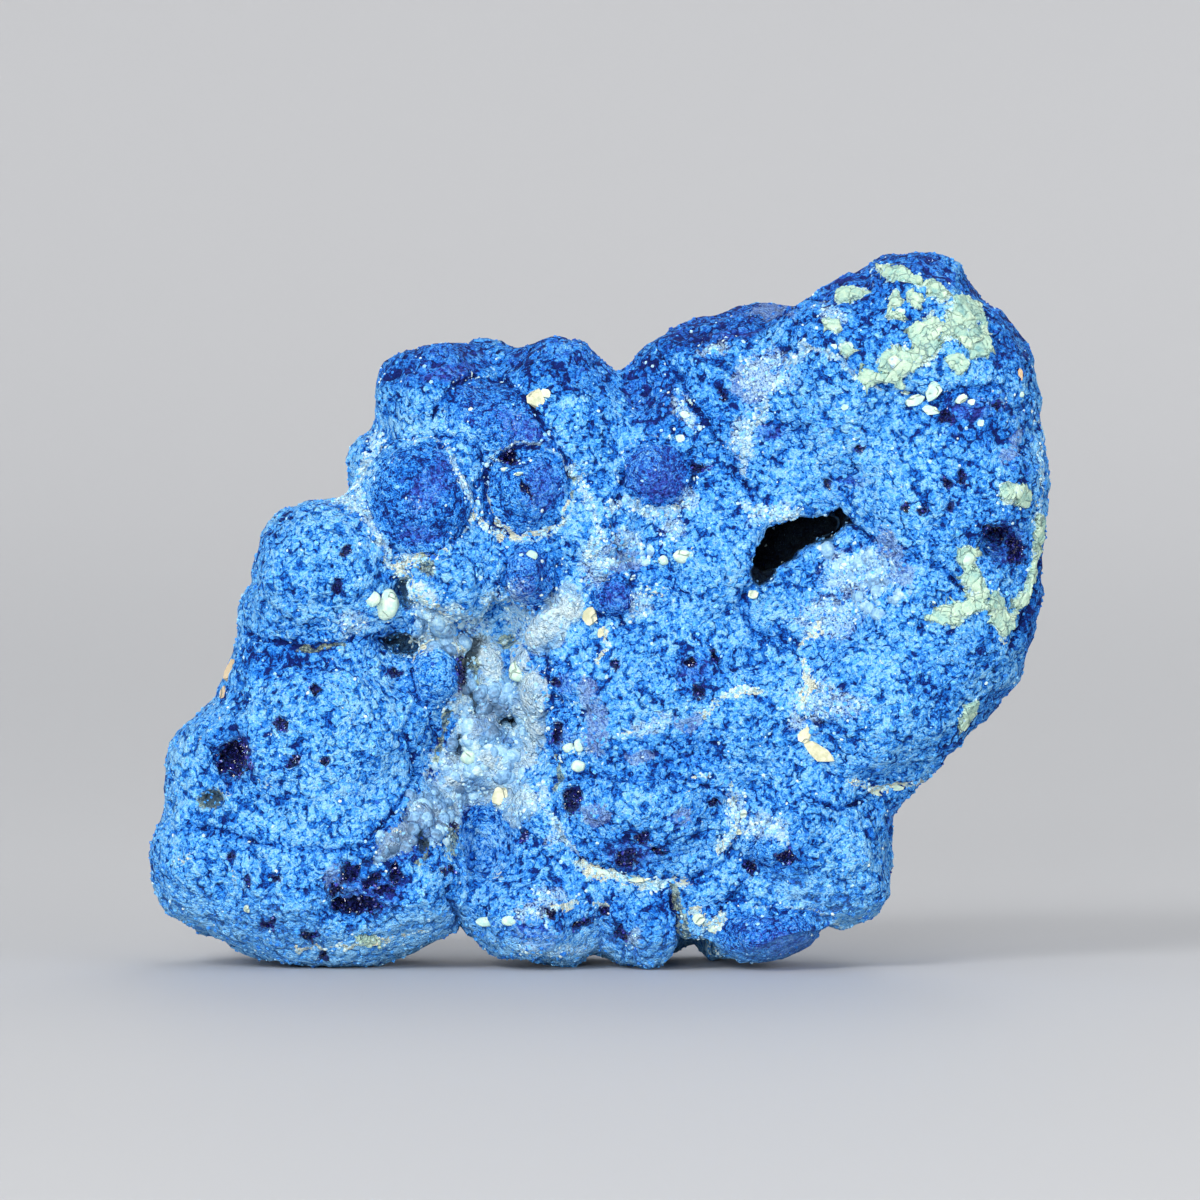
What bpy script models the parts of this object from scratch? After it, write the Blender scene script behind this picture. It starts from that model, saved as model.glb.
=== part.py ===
"""Azurite specimen: nodules of azurite grown together into one upright plate of rock.

The plate stands on worn flats under its lowest nodules. Its front (-Y) is a broken face, so the
nodules are flattened there, and its back (+Y) keeps their round growth. Caves, vugs and a gully
open in the front. +Z is up, and the origin is at the middle of the base.
"""

import math

import bmesh
import bpy
from mathutils import Matrix, Vector, noise

# Driving dimensions, in millimetres. The rock is worked in millimetres, because Blender's own
# tolerances suit numbers of that size, and is scaled to metres once it is finished.
METRES_PER_MM = 0.001
SPECIMEN_WIDTH = 110.0

# The front is a broken face and the beds between the nodules lie in a plate. Growth beyond the
# first distance from the middle plane is pressed towards a plane that lies the second beyond it.
NODULE_FRONT = (15.0, 5.0)
BED_FRONT = (8.0, 6.0)
BED_BACK = (6.0, 6.0)

# How finely the rock is worked, in millimetres, and how many triangles it ends with.
NODULE_SUBDIVISIONS = 4
OPENING_SUBDIVISIONS = 3
FUSING_VOXEL = 0.9
CARVED_VOXEL = 0.75
TRIANGLES = 9600

# The crust's knobs: the spacing of each size of knob, and how far it stands out.
KNOBS = ((9.0, 0.9), (4.5, 0.6))

# Each nodule's middle (x, y, z) and its half sizes along x, y and z, in millimetres. Those of the
# front are the lobes seen on the broken face and along the outline.
FRONT_NODULES = {
    "crown": ((39.0, -4.4, 75.0), (11.0, 14.6, 12.2)),
    "right_temple": ((43.5, -5.4, 69.5), (10.8, 14.6, 11.5)),
    "right_cheek": ((42.0, -5.9, 57.0), (13.4, 16.1, 16.0)),
    "right_flank": ((41.0, -5.7, 43.0), (12.5, 15.3, 13.0)),
    "right_heel": ((33.6, -6.4, 32.4), (13.0, 14.6, 11.2)),
    "right_hip": ((45.6, -4.0, 36.6), (7.0, 12.0, 7.4)),
    "right_foot": ((26.0, -5.9, 16.5), (9.5, 13.1, 11.0)),
    "right_toe": ((28.7, -6.1, 11.5), (6.8, 10.9, 7.0)),
    "brow": ((30.5, -5.1, 70.5), (11.5, 13.9, 13.5)),
    "saddle_lump": ((20.5, 6.0, 77.5), (5.5, 8.0, 3.5)),
    "saddle": ((17.5, -3.3, 69.0), (9.0, 11.7, 10.0)),
    "ridge_lump": ((13.0, 1.0, 73.0), (6.0, 12.0, 5.5)),
    "notch_lump": ((8.5, 0.0, 72.0), (4.5, 11.0, 5.0)),
    "upper_middle": ((-1.0, -4.1, 65.0), (7.5, 10.9, 8.0)),
    "top_middle": ((-6.0, -3.5, 70.5), (6.0, 9.5, 5.7)),
    "peeping_lump": ((-13.2, 2.0, 72.8), (3.8, 8.0, 4.2)),
    "top_left": ((-20.0, -3.1, 69.0), (7.4, 10.9, 7.0)),
    "dark_crescent": ((-12.0, -3.0, 65.5), (6.5, 12.0, 6.0)),
    "left_edge_lump": ((-28.0, 3.0, 60.5), (3.0, 10.0, 4.0)),
    "big_disc": ((-21.0, -8.5, 57.5), (8.0, 9.5, 7.5)),
    "small_disc": ((-9.0, -7.0, 58.0), (5.0, 11.0, 5.0)),
    "dark_button": ((7.0, -6.0, 60.5), (4.5, 11.0, 4.5)),
    "light_lump": ((0.0, -6.8, 53.0), (6.0, 10.2, 7.0)),
    "under_disc": ((-8.5, -6.0, 48.0), (3.5, 12.0, 4.5)),
    "hanging_lump": ((-18.0, -6.0, 47.0), (6.0, 12.0, 6.0)),
    "plum_bead": ((2.0, -9.0, 45.5), (3.0, 9.0, 3.0)),
    "middle_top": ((14.0, -4.6, 49.5), (11.0, 12.4, 11.0)),
    "middle": ((6.0, -4.9, 33.5), (15.0, 13.1, 13.5)),
    "middle_right": ((19.5, -4.9, 29.5), (11.5, 13.1, 11.0)),
    "lens": ((6.5, -6.6, 20.0), (12.0, 12.4, 9.0)),
    "bottom_right": ((20.7, -6.6, 4.0), (7.3, 12.4, 4.8)),
    "bottom_bead": ((5.5, -5.6, 5.7), (5.0, 12.4, 6.5)),
    "bottom_middle": ((-7.5, -4.9, 7.0), (9.0, 13.1, 6.6)),
    "keel": ((-22.5, -5.6, 10.0), (7.5, 12.4, 8.5)),
    "left_belly": ((-33.0, -5.1, 13.0), (18.0, 13.9, 13.8)),
    "left_corner": ((-46.0, -3.3, 12.5), (8.7, 11.7, 10.0)),
    "left_step": ((-47.0, -2.8, 22.5), (6.0, 10.2, 8.0)),
    "left_block": ((-34.0, -6.1, 28.0), (13.3, 13.9, 12.0)),
    "left_shoulder": ((-40.5, -4.1, 34.5), (6.5, 10.9, 7.5)),
    "upper_left_block": ((-33.0, -5.9, 47.5), (9.5, 13.1, 9.5)),
    "upper_left_tuck": ((-39.5, 0.0, 43.0), (5.0, 12.0, 4.5)),
    "edge_bead": ((-19.5, -5.0, 36.0), (4.0, 11.0, 4.0)),
    "edge_bead_low": ((-21.5, -5.0, 31.5), (3.0, 10.0, 3.5)),
    "gully_floor": ((-15.0, -0.5, 29.5), (11.5, 9.5, 17.0)),
}

# The beds of fine azurite that the nodules grew in. They leave a gully open on the left.
BEDS = {
    "right_bed": ((35.5, 0.0, 58.0), (17.0, 30.0, 26.0)),
    "right_low_bed": ((27.0, 0.0, 34.0), (20.0, 30.0, 15.0)),
    "saddle_bed": ((14.0, 0.0, 61.0), (12.0, 28.0, 11.0)),
    "middle_bed": ((9.5, 0.0, 38.0), (20.0, 30.0, 22.0)),
    "bottom_bed": ((8.0, 0.0, 15.0), (21.0, 30.0, 13.0)),
    "left_bed": ((-36.0, 0.0, 21.0), (15.5, 30.0, 17.5)),
    "left_upper_bed": ((-31.0, 0.0, 44.5), (11.5, 28.0, 10.0)),
    "upper_left_bed": ((-13.0, 0.0, 57.0), (15.5, 26.0, 14.0)),
}

# The back's nodules stay inside the outline that the front's give.
BACK_NODULES = {
    "back_crown": ((38.5, 9.0, 76.0), (8.0, 10.0, 8.0)),
    "back_cheek": ((36.5, 11.0, 64.5), (10.5, 11.5, 10.0)),
    "back_flank": ((44.5, 9.5, 50.5), (8.0, 9.5, 9.0)),
    "back_navel": ((30.5, 13.0, 46.0), (6.5, 8.0, 6.5)),
    "back_heel": ((34.0, 11.0, 32.0), (8.5, 9.0, 8.5)),
    "back_brow": ((23.0, 11.0, 62.5), (7.5, 9.0, 7.5)),
    "back_saddle": ((12.0, 9.0, 65.0), (6.5, 9.0, 6.5)),
    "back_middle_top": ((14.5, 12.0, 49.5), (8.5, 10.0, 8.5)),
    "back_upper_middle": ((1.0, 9.0, 56.5), (7.0, 9.0, 7.0)),
    "back_top_middle": ((-8.5, 7.0, 64.0), (6.5, 8.0, 6.5)),
    "back_top_left": ((-19.5, 8.0, 60.5), (6.5, 8.0, 6.5)),
    "back_hanging_lump": ((-14.5, 11.0, 44.5), (8.5, 9.0, 8.5)),
    "back_middle": ((0.0, 11.0, 38.5), (11.5, 11.5, 11.0)),
    "back_upper_left": ((-28.0, 9.0, 42.0), (8.0, 9.0, 8.0)),
    "back_left": ((-39.0, 8.5, 26.0), (10.5, 11.0, 10.0)),
    "back_gully": ((-24.5, 13.0, 25.0), (9.0, 10.0, 9.0)),
    "back_low_middle": ((-9.5, 12.0, 24.0), (6.3, 8.5, 6.0)),
    "back_lens": ((7.5, 12.0, 21.0), (9.0, 10.0, 9.0)),
    "back_right_low": ((22.0, 11.0, 20.0), (8.0, 10.0, 8.0)),
    "back_foot_left": ((-35.5, 7.0, 8.5), (11.5, 13.0, 9.3)),
    "back_foot_right": ((14.0, 7.0, 7.5), (10.0, 12.0, 8.3)),
    "back_bottom_middle": ((-5.0, 9.0, 10.0), (7.5, 10.0, 7.5)),
    "back_temple": ((45.5, 8.0, 66.0), (7.0, 9.0, 8.0)),
    "back_ridge": ((29.0, 7.0, 73.5), (7.5, 8.5, 7.5)),
    "back_cave_wall": ((25.0, 14.0, 55.0), (7.5, 7.0, 7.0)),
    "back_corner": ((-46.0, 7.0, 14.0), (7.0, 8.5, 8.5)),
    "back_keel": ((-22.0, 8.0, 10.5), (7.0, 9.0, 8.0)),
    "back_right_foot": ((29.0, 7.0, 15.0), (7.0, 8.5, 9.0)),
    "back_upper_tuck": ((-37.0, 6.0, 48.0), (6.0, 8.0, 7.5)),
    "back_bead_below_middle": ((12.5, 14.0, 31.0), (4.6, 4.8, 4.6)),
    "back_bead_by_heel": ((21.5, 13.5, 36.5), (5.8, 6.0, 5.6)),
    "back_bead_above_lens": ((24.0, 13.5, 28.0), (4.4, 5.0, 4.4)),
    "back_bead_of_gully": ((-17.5, 13.5, 34.0), (4.6, 5.0, 4.8)),
    "back_bead_of_shoulder": ((-28.5, 12.5, 34.0), (4.4, 5.5, 4.4)),
    "back_bead_high": ((-4.5, 12.0, 51.0), (4.2, 5.0, 4.2)),
    "back_bead_of_saddle": ((8.5, 11.0, 58.0), (4.8, 6.0, 4.6)),
    "back_bead_of_cheek": ((28.0, 13.0, 56.5), (4.8, 6.5, 4.8)),
    "back_bead_of_keel": ((-13.5, 12.0, 15.5), (4.6, 5.0, 4.6)),
    "back_bead_of_belly": ((-28.5, 12.0, 16.0), (4.2, 5.5, 4.2)),
    "back_bead_of_flank": ((38.0, 12.0, 41.0), (5.0, 6.0, 5.0)),
}

# Small openings: middle, half sizes, and the lean from upright seen from the front, in degrees.
OPENINGS = {
    "gully_hole": ((-10.7, -7.0, 30.1), (1.9, 8.0, 1.8), 0),
    "shoulder_cave": ((-24.1, -15.0, 39.7), (3.3, 10.0, 2.4), 8),
    "shoulder_cave_high": ((-23.2, -13.0, 46.2), (1.7, 7.0, 2.4), -20),
    "left_vug": ((-44.0, -13.5, 25.9), (2.3, 4.5, 2.8), 15),
    "belly_mouth": ((-30.4, -17.5, 8.0), (3.6, 5.0, 1.5), 5),
    "belly_vug": ((-27.6, -18.5, 12.0), (3.6, 2.8, 2.2), 10),
    "step_pit": ((-47.0, -13.0, 20.8), (1.7, 4.0, 1.6), -15),
    "cheek_vug": ((47.9, -15.5, 52.4), (2.4, 3.8, 2.6), 30),
    "lens_vug": ((3.4, -18.0, 13.6), (1.8, 3.0, 1.6), 0),
    "lens_vug_left": ((-3.4, -16.0, 20.7), (1.5, 4.0, 2.2), 0),
    "middle_vug": ((-4.8, -15.5, 28.7), (1.5, 4.0, 1.7), 0),
}

# The cave's mouth, from its pointed right end round above and back below, as (x, z).
CAVE_MOUTH = (
    (31.2, 54.6), (29.4, 54.7), (28.3, 55.6), (27.6, 54.7), (26.3, 54.3), (23.4, 54.4),
    (21.9, 53.7), (20.6, 52.9), (20.8, 51.7), (19.2, 50.5), (18.2, 47.7), (19.4, 46.7),
    (21.7, 49.0), (23.5, 49.7), (24.9, 51.5), (27.6, 52.0), (28.8, 52.8), (29.2, 54.0),
)
# The cave's rings from front to back: the depth, and the mouth's share of its size there.
CAVE_RINGS = ((-26.0, 1.0), (-17.0, 1.0), (-9.0, 1.3), (0.0, 1.25), (6.0, 0.7))


def pressed(distance, plane):
    """A distance from the middle plane, eased so that it never passes the plane of a flat face."""
    start, room = plane
    past = max(0.0, distance - start)
    return distance - past + room * math.tanh(past / room)


def add_ellipsoid(mesh, middle, half_sizes, subdivisions, lean=0.0):
    """Adds a ball stretched to those half sizes, and returns its vertices."""
    placing = (
        Matrix.Translation(middle)
        @ Matrix.Rotation(math.radians(lean), 4, "Y")
        @ Matrix.Diagonal((*half_sizes, 1.0))
    )
    made = bmesh.ops.create_icosphere(mesh, subdivisions=subdivisions, radius=1.0, matrix=placing)
    return made["verts"]


def add_cave(mesh):
    """Adds the cave as a stack of rings of its mouth's outline, which widens behind the mouth."""
    middle = sum((Vector((x, 0.0, z)) for x, z in CAVE_MOUTH), Vector()) / len(CAVE_MOUTH)
    rings = []
    for depth, share in CAVE_RINGS:
        ring = []
        for x, z in CAVE_MOUTH:
            place = middle.lerp(Vector((x, 0.0, z)), share)
            place.y = depth
            ring.append(mesh.verts.new(place))
        rings.append(ring)
    for front, back in zip(rings, rings[1:]):
        for here in range(len(front)):
            after = (here + 1) % len(front)
            mesh.faces.new((front[here], front[after], back[after], back[here]))
    mesh.faces.new(reversed(rings[0]))
    mesh.faces.new(rings[-1])


def as_object(mesh, name):
    """Links the bmesh as an object of that name."""
    bmesh.ops.recalc_face_normals(mesh, faces=mesh.faces)
    data = bpy.data.meshes.new(name)
    mesh.to_mesh(data)
    mesh.free()
    made = bpy.data.objects.new(name, data)
    bpy.context.scene.collection.objects.link(made)
    return made


def as_helper(made):
    """A cutter isn't part of the rock, so it is drawn as wire and isn't rendered."""
    made.hide_render = True
    made.display_type = "WIRE"
    return made


def apply_modifier(rock, kind, **settings):
    """Adds a modifier with those settings to the rock and applies it."""
    modifier = rock.modifiers.new(kind.title(), kind)
    for name, value in settings.items():
        setattr(modifier, name, value)
    bpy.context.view_layer.objects.active = rock
    bpy.ops.object.modifier_apply(modifier=modifier.name)


def make_grown_nodules():
    """All the beds and nodules as overlapping balls in one mesh, with their flat faces pressed."""
    mesh = bmesh.new()
    for middle, half_sizes in BEDS.values():
        for vertex in add_ellipsoid(mesh, middle, half_sizes, NODULE_SUBDIVISIONS):
            plane = BED_FRONT if vertex.co.y < 0 else BED_BACK
            vertex.co.y = math.copysign(pressed(abs(vertex.co.y), plane), vertex.co.y)
    for middle, half_sizes in [*FRONT_NODULES.values(), *BACK_NODULES.values()]:
        for vertex in add_ellipsoid(mesh, middle, half_sizes, NODULE_SUBDIVISIONS):
            vertex.co.y = -pressed(-vertex.co.y, NODULE_FRONT)
    return as_object(mesh, "azurite_specimen")


def make_openings():
    """The caves, vugs and crevices as cutters in one mesh."""
    mesh = bmesh.new()
    for middle, half_sizes, lean in OPENINGS.values():
        add_ellipsoid(mesh, middle, half_sizes, OPENING_SUBDIVISIONS, lean)
    add_cave(mesh)
    return as_helper(as_object(mesh, "openings_cutter"))


def make_ground():
    """A cube under z = 0, the level that the lowest nodules are worn down to."""
    mesh = bmesh.new()
    side = 2 * SPECIMEN_WIDTH
    bmesh.ops.create_cube(mesh, size=side, matrix=Matrix.Translation((0.0, 0.0, -side / 2)))
    return as_helper(as_object(mesh, "ground_cutter"))


def roughen(rock):
    """Raises knobs of a few sizes on the crust, each size by its own noise."""
    mesh = bmesh.new()
    mesh.from_mesh(rock.data)
    mesh.normal_update()
    moved = []
    for vertex in mesh.verts:
        lift = 0.0
        for spacing, height in KNOBS:
            lift += height * noise.noise(vertex.co / spacing)
        moved.append(vertex.co + vertex.normal * lift)
    for vertex, place in zip(mesh.verts, moved):
        vertex.co = place
    mesh.to_mesh(rock.data)
    mesh.free()


def island_of(start):
    """All the vertices joined to this one by edges."""
    found = {start}
    waiting = [start]
    while waiting:
        for edge in waiting.pop().link_edges:
            for vertex in edge.verts:
                if vertex not in found:
                    found.add(vertex)
                    waiting.append(vertex)
    return found


def keep_largest_island(rock):
    """Removes crumbs that the carving has cut loose."""
    mesh = bmesh.new()
    mesh.from_mesh(rock.data)
    left = set(mesh.verts)
    islands = []
    while left:
        islands.append(island_of(next(iter(left))))
        left -= islands[-1]
    islands.sort(key=len)
    for island in islands[:-1]:
        bmesh.ops.delete(mesh, geom=list(island), context="VERTS")
    mesh.to_mesh(rock.data)
    mesh.free()


def azurite_material():
    """Azurite's dull earthy blue."""
    material = bpy.data.materials.new("azurite_blue")
    material.use_nodes = True
    surface = material.node_tree.nodes["Principled BSDF"]
    surface.inputs["Base Color"].default_value = (0.075, 0.30, 0.78, 1.0)
    surface.inputs["Roughness"].default_value = 0.75
    surface.inputs["Metallic"].default_value = 0.0
    return material


def bring_to_size(rock):
    """Centres the rock over the origin and makes it SPECIMEN_WIDTH wide, in metres."""
    places = [vertex.co for vertex in rock.data.vertices]
    low = Vector([min(place[axis] for place in places) for axis in range(3)])
    high = Vector([max(place[axis] for place in places) for axis in range(3)])
    centring = Matrix.Translation((-(low.x + high.x) / 2, -(low.y + high.y) / 2, 0.0))
    scaling = Matrix.Scale(METRES_PER_MM * SPECIMEN_WIDTH / (high.x - low.x), 4)
    rock.data.transform(scaling @ centring)


def main():
    for leftover in list(bpy.data.objects):
        bpy.data.objects.remove(leftover)
    rock = make_grown_nodules()
    openings = make_openings()
    ground = make_ground()

    # The openings overlap one another, so the cut has to allow for a cutter that crosses itself.
    apply_modifier(rock, "REMESH", mode="VOXEL", voxel_size=FUSING_VOXEL)
    apply_modifier(rock, "BOOLEAN", operation="DIFFERENCE", object=openings, use_self=True)
    apply_modifier(rock, "REMESH", mode="VOXEL", voxel_size=CARVED_VOXEL)
    roughen(rock)
    apply_modifier(rock, "REMESH", mode="VOXEL", voxel_size=CARVED_VOXEL)
    keep_largest_island(rock)
    apply_modifier(rock, "TRIANGULATE")
    apply_modifier(rock, "DECIMATE", ratio=TRIANGLES / len(rock.data.polygons))
    apply_modifier(rock, "BOOLEAN", operation="DIFFERENCE", object=ground)

    bring_to_size(rock)
    rock.data.materials.clear()
    rock.data.materials.append(azurite_material())


main()
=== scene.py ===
import math

import bmesh
import bpy
import numpy as np
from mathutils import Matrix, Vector, noise


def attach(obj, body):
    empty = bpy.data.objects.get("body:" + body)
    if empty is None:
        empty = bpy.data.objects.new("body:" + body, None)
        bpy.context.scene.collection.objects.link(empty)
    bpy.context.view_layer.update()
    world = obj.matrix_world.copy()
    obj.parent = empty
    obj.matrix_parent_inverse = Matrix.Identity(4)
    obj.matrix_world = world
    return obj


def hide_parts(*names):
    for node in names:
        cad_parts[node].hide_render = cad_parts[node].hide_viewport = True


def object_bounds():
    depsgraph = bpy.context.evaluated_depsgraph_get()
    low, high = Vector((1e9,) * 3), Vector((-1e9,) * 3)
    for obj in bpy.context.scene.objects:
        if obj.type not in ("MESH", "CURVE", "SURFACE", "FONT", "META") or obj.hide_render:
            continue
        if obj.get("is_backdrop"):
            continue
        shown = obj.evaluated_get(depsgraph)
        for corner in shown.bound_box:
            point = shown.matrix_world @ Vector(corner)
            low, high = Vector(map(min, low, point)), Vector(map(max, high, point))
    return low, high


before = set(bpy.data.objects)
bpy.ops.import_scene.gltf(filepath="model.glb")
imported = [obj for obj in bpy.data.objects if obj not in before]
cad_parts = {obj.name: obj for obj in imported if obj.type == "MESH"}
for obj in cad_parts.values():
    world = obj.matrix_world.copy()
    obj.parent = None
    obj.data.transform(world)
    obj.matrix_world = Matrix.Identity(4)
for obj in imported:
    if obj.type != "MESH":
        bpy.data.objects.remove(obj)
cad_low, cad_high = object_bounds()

# The photograph's view: the camera stands far off in front, a little above the middle.
# Its frame is 1200 pixels square, and the specimen's 110 mm are 900 of them.
MM = 0.001
PHOTO_SIDE = 1200
PIXEL = 110 * MM / 900
PHOTO_MIDDLE = 600.5
PHOTO_GROUND = 963
CAMERA_AWAY = 1.5
CAMERA_RAISED = math.radians(2.0)
SENSOR_WIDE = 36.0
VIEW_REACH = 50.0

aim = Vector((0.0, 0.0, (PHOTO_GROUND - PHOTO_SIDE / 2) * PIXEL))
eye = aim + CAMERA_AWAY * Vector((0.0, -math.cos(CAMERA_RAISED), math.sin(CAMERA_RAISED)))
camera = bpy.data.objects.new("camera", bpy.data.cameras.new("camera"))
bpy.context.scene.collection.objects.link(camera)
camera.location = eye
camera.rotation_euler = (aim - eye).to_track_quat("-Z", "Y").to_euler()
camera.data.sensor_width = SENSOR_WIDE
camera.data.lens = SENSOR_WIDE * CAMERA_AWAY / (PHOTO_SIDE * PIXEL)
camera.data.clip_end = VIEW_REACH
bpy.context.scene.camera = camera

# Soft light from all round, a wide lamp high in front on the left, a weaker one on the right, a low
# one in front that lights the undersides, and a faint one behind. Each lamp is a square soft box that
# faces the specimen: its place, its width and its power in watts.
SKY = (0.80, 0.81, 0.83, 1.0)
SKY_STRENGTH = 0.80
LAMPS = {
    "key_lamp": ((-1.05, -1.75, 1.35), 0.9, 33.0),
    "fill_lamp": ((1.50, -1.70, 0.45), 1.1, 16.0),
    "low_lamp": ((-0.30, -1.90, 0.32), 0.6, 21.0),
    "back_lamp": ((0.60, 1.80, 1.50), 1.1, 8.0),
}

for name, (lamp_place, lamp_width, watts) in LAMPS.items():
    light = bpy.data.lights.new(name, "AREA")
    light.energy = watts
    light.size = lamp_width
    lamp = bpy.data.objects.new(name, light)
    bpy.context.scene.collection.objects.link(lamp)
    lamp.location = lamp_place
    lamp.rotation_euler = (aim - Vector(lamp_place)).to_track_quat("-Z", "Y").to_euler()
world = bpy.data.worlds.new("studio")
bpy.context.scene.world = world
world.use_nodes = True
world.node_tree.nodes["Background"].inputs["Color"].default_value = SKY
world.node_tree.nodes["Background"].inputs["Strength"].default_value = SKY_STRENGTH
bpy.context.scene.view_settings.view_transform = "Standard"

# The pale stage: a wide floor whose rim curves up all round into a backdrop, so that it runs out past
# the frame with no edge. It is smooth and plain, and shows only the specimen's soft shadow. Its colour
# is painted light: darker near the middle and paler towards the rim, to even out the weaker light there.
FLOOR_RADIUS = 1.5
FLOOR_SIDES = 128
RIM_RADIUS = 2.8
RIM_STEPS = 24
FLOOR_NEAR = 0.3
FLOOR_FAR = 3.6


class Wire:
    """A node socket that takes part in arithmetic. Each operation adds one Math node."""

    tree = None

    def __init__(self, socket):
        self.socket = socket

    @classmethod
    def node(cls, kind, settings=None, output=0, **sockets):
        """Adds a node of that type with its settings, then fills its sockets with values or wires."""
        made = cls.tree.nodes.new(kind)
        for name, value in (settings or {}).items():
            if name == "stops":
                ramp = made.color_ramp
                while len(ramp.elements) < len(value):
                    ramp.elements.new(0.5)
                for element, (place, colour) in zip(ramp.elements, value):
                    element.position = place
                    element.color = colour
            else:
                setattr(made, name, value)
        for name, value in sockets.items():
            key = int(name[1:]) if name[0] == "_" and name[1:].isdigit() else name.replace("_", " ")
            if isinstance(value, Wire):
                cls.tree.links.new(value.socket, made.inputs[key])
            else:
                made.inputs[key].default_value = value
        return cls(made.outputs[output])

    @classmethod
    def math(cls, operation, first, second):
        return cls.node("ShaderNodeMath", {"operation": operation}, _0=first, _1=second)

    def __add__(self, other):
        return self.math("ADD", self, other)

    def __sub__(self, other):
        return self.math("SUBTRACT", self, other)

    def __mul__(self, other):
        return self.math("MULTIPLY", self, other)

    def __rsub__(self, other):
        return self.math("SUBTRACT", other, self)

    __radd__ = __add__
    __rmul__ = __mul__

    def between(self, low, high):
        """0 below low and 1 above high, with a smooth step between them."""
        return self.node(
            "ShaderNodeMapRange", {"interpolation_type": "SMOOTHSTEP"},
            Value=self, From_Min=low, From_Max=high, To_Min=0.0, To_Max=1.0,
        )

    def other(self, output):
        """Another output of the same node."""
        return Wire(self.socket.node.outputs[output])

    def clamped(self):
        return self.math("MINIMUM", self.math("MAXIMUM", self, 0.0), 1.0)


def paint(red, green, blue):
    """A colour as the eye sees it, from 0 to 255, in the renderer's linear values."""
    linear = [
        (c / 255 / 12.92) if c <= 10 else ((c / 255 + 0.055) / 1.055) ** 2.4
        for c in (red, green, blue)
    ]
    return (*linear, 1.0)


def blend(share, first, second):
    """A mix of two colours, by a share from 0, all first, to 1, all second."""
    return Wire.node(
        "ShaderNodeMix", {"data_type": "RGBA"}, output=2, _0=share, _6=first, _7=second
    )


def new_material(name):
    """An empty material whose tree the next nodes go into, with its surface shader."""
    material = bpy.data.materials.new(name)
    material.use_nodes = True
    Wire.tree = material.node_tree
    return material, material.node_tree.nodes["Principled BSDF"]


def feed(surface, name, wire):
    Wire.tree.links.new(wire.socket, surface.inputs[name])


def grain(place, size, detail=2.0, roughness=0.5):
    """Cloudy noise from 0 to 1, whose lumps are about that size."""
    return Wire.node(
        "ShaderNodeTexNoise", output="Fac",
        Vector=place, Scale=1 / size, Detail=detail, Roughness=roughness,
    )


floor_mesh = bmesh.new()
bmesh.ops.create_circle(floor_mesh, cap_ends=True, segments=FLOOR_SIDES, radius=FLOOR_RADIUS)
rim_edges = [edge for edge in floor_mesh.edges if edge.is_boundary]
for number in range(1, RIM_STEPS + 1):
    angle = math.radians(90) * number / RIM_STEPS
    reach = FLOOR_RADIUS + RIM_RADIUS * math.sin(angle)
    made = bmesh.ops.extrude_edge_only(floor_mesh, edges=rim_edges)["geom"]
    rim_edges = [item for item in made if isinstance(item, bmesh.types.BMEdge)]
    for vertex in {vertex for edge in rim_edges for vertex in edge.verts}:
        around = math.atan2(vertex.co.y, vertex.co.x)
        height = RIM_RADIUS * (1 - math.cos(angle))
        vertex.co = (reach * math.cos(around), reach * math.sin(around), height)
bmesh.ops.recalc_face_normals(floor_mesh, faces=floor_mesh.faces)
for face in floor_mesh.faces:
    face.smooth = True
floor = bpy.data.objects.new("floor", bpy.data.meshes.new("floor"))
floor_mesh.to_mesh(floor.data)
floor_mesh.free()
bpy.context.scene.collection.objects.link(floor)
floor_paint, surface = new_material("pale_floor")
place = Wire.node("ShaderNodeTexCoord", output="Object")
far = Wire.node("ShaderNodeVectorMath", {"operation": "LENGTH"}, output="Value", _0=place)
# Painted light: the floor runs from darker near the middle to paler towards the rim, to even out the weaker
# light on the curved-up backdrop.
painted_rim_light_share = far.between(FLOOR_NEAR, FLOOR_FAR)
feed(surface, "Base Color", blend(painted_rim_light_share, paint(184, 185, 187), paint(226, 226, 227)))
surface.inputs["Roughness"].default_value = 0.6
floor.data.materials.append(floor_paint)
floor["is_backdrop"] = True

# The rock: nodules of azurite that grew into one another, with a granular crust. The CAD solid gives
# them in facets, and this copy of it is rounded, remeshed evenly and cut finer where it faces the
# front, so that the crust can be raised from it.
NODE = "azurite_specimen"
BODY_VOXEL = 1.10 * MM
FRONT_FACING = -0.20
MERGE_AWAY = 0.01 * MM
FINE_CUT_BACK = 4 * MM

rock = bpy.data.objects.new("azurite_body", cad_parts[NODE].data.copy())
bpy.context.scene.collection.objects.link(rock)


def only(piece):
    """Makes this piece the only selected and the active one."""
    bpy.ops.object.select_all(action="DESELECT")
    piece.select_set(True)
    bpy.context.view_layer.objects.active = piece


def finish_with(piece, kind, **settings):
    """Adds a modifier with those settings and applies it."""
    only(piece)
    modifier = piece.modifiers.new(kind.title(), kind)
    for name, value in settings.items():
        setattr(modifier, name, value)
    bpy.ops.object.modifier_apply(modifier=modifier.name)


def select_faces(piece, chosen):
    """Selects these faces of the piece and no others, and leaves it in edit mode."""
    only(piece)
    bpy.ops.object.mode_set(mode="EDIT")
    bpy.ops.mesh.select_mode(type="FACE")
    bpy.ops.mesh.select_all(action="DESELECT")
    bpy.ops.object.mode_set(mode="OBJECT")
    piece.data.polygons.foreach_set("select", chosen)
    bpy.ops.object.mode_set(mode="EDIT")


def rows(items, name):
    """What each of these vertices or faces has by that name, such as its place, as rows of three."""
    values = np.empty(len(items) * 3)
    items.foreach_get(name, values)
    return values.reshape(-1, 3)


def move_to(piece, places):
    piece.data.vertices.foreach_set("co", np.ascontiguousarray(places, dtype=np.float32).ravel())
    piece.data.update()


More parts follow.
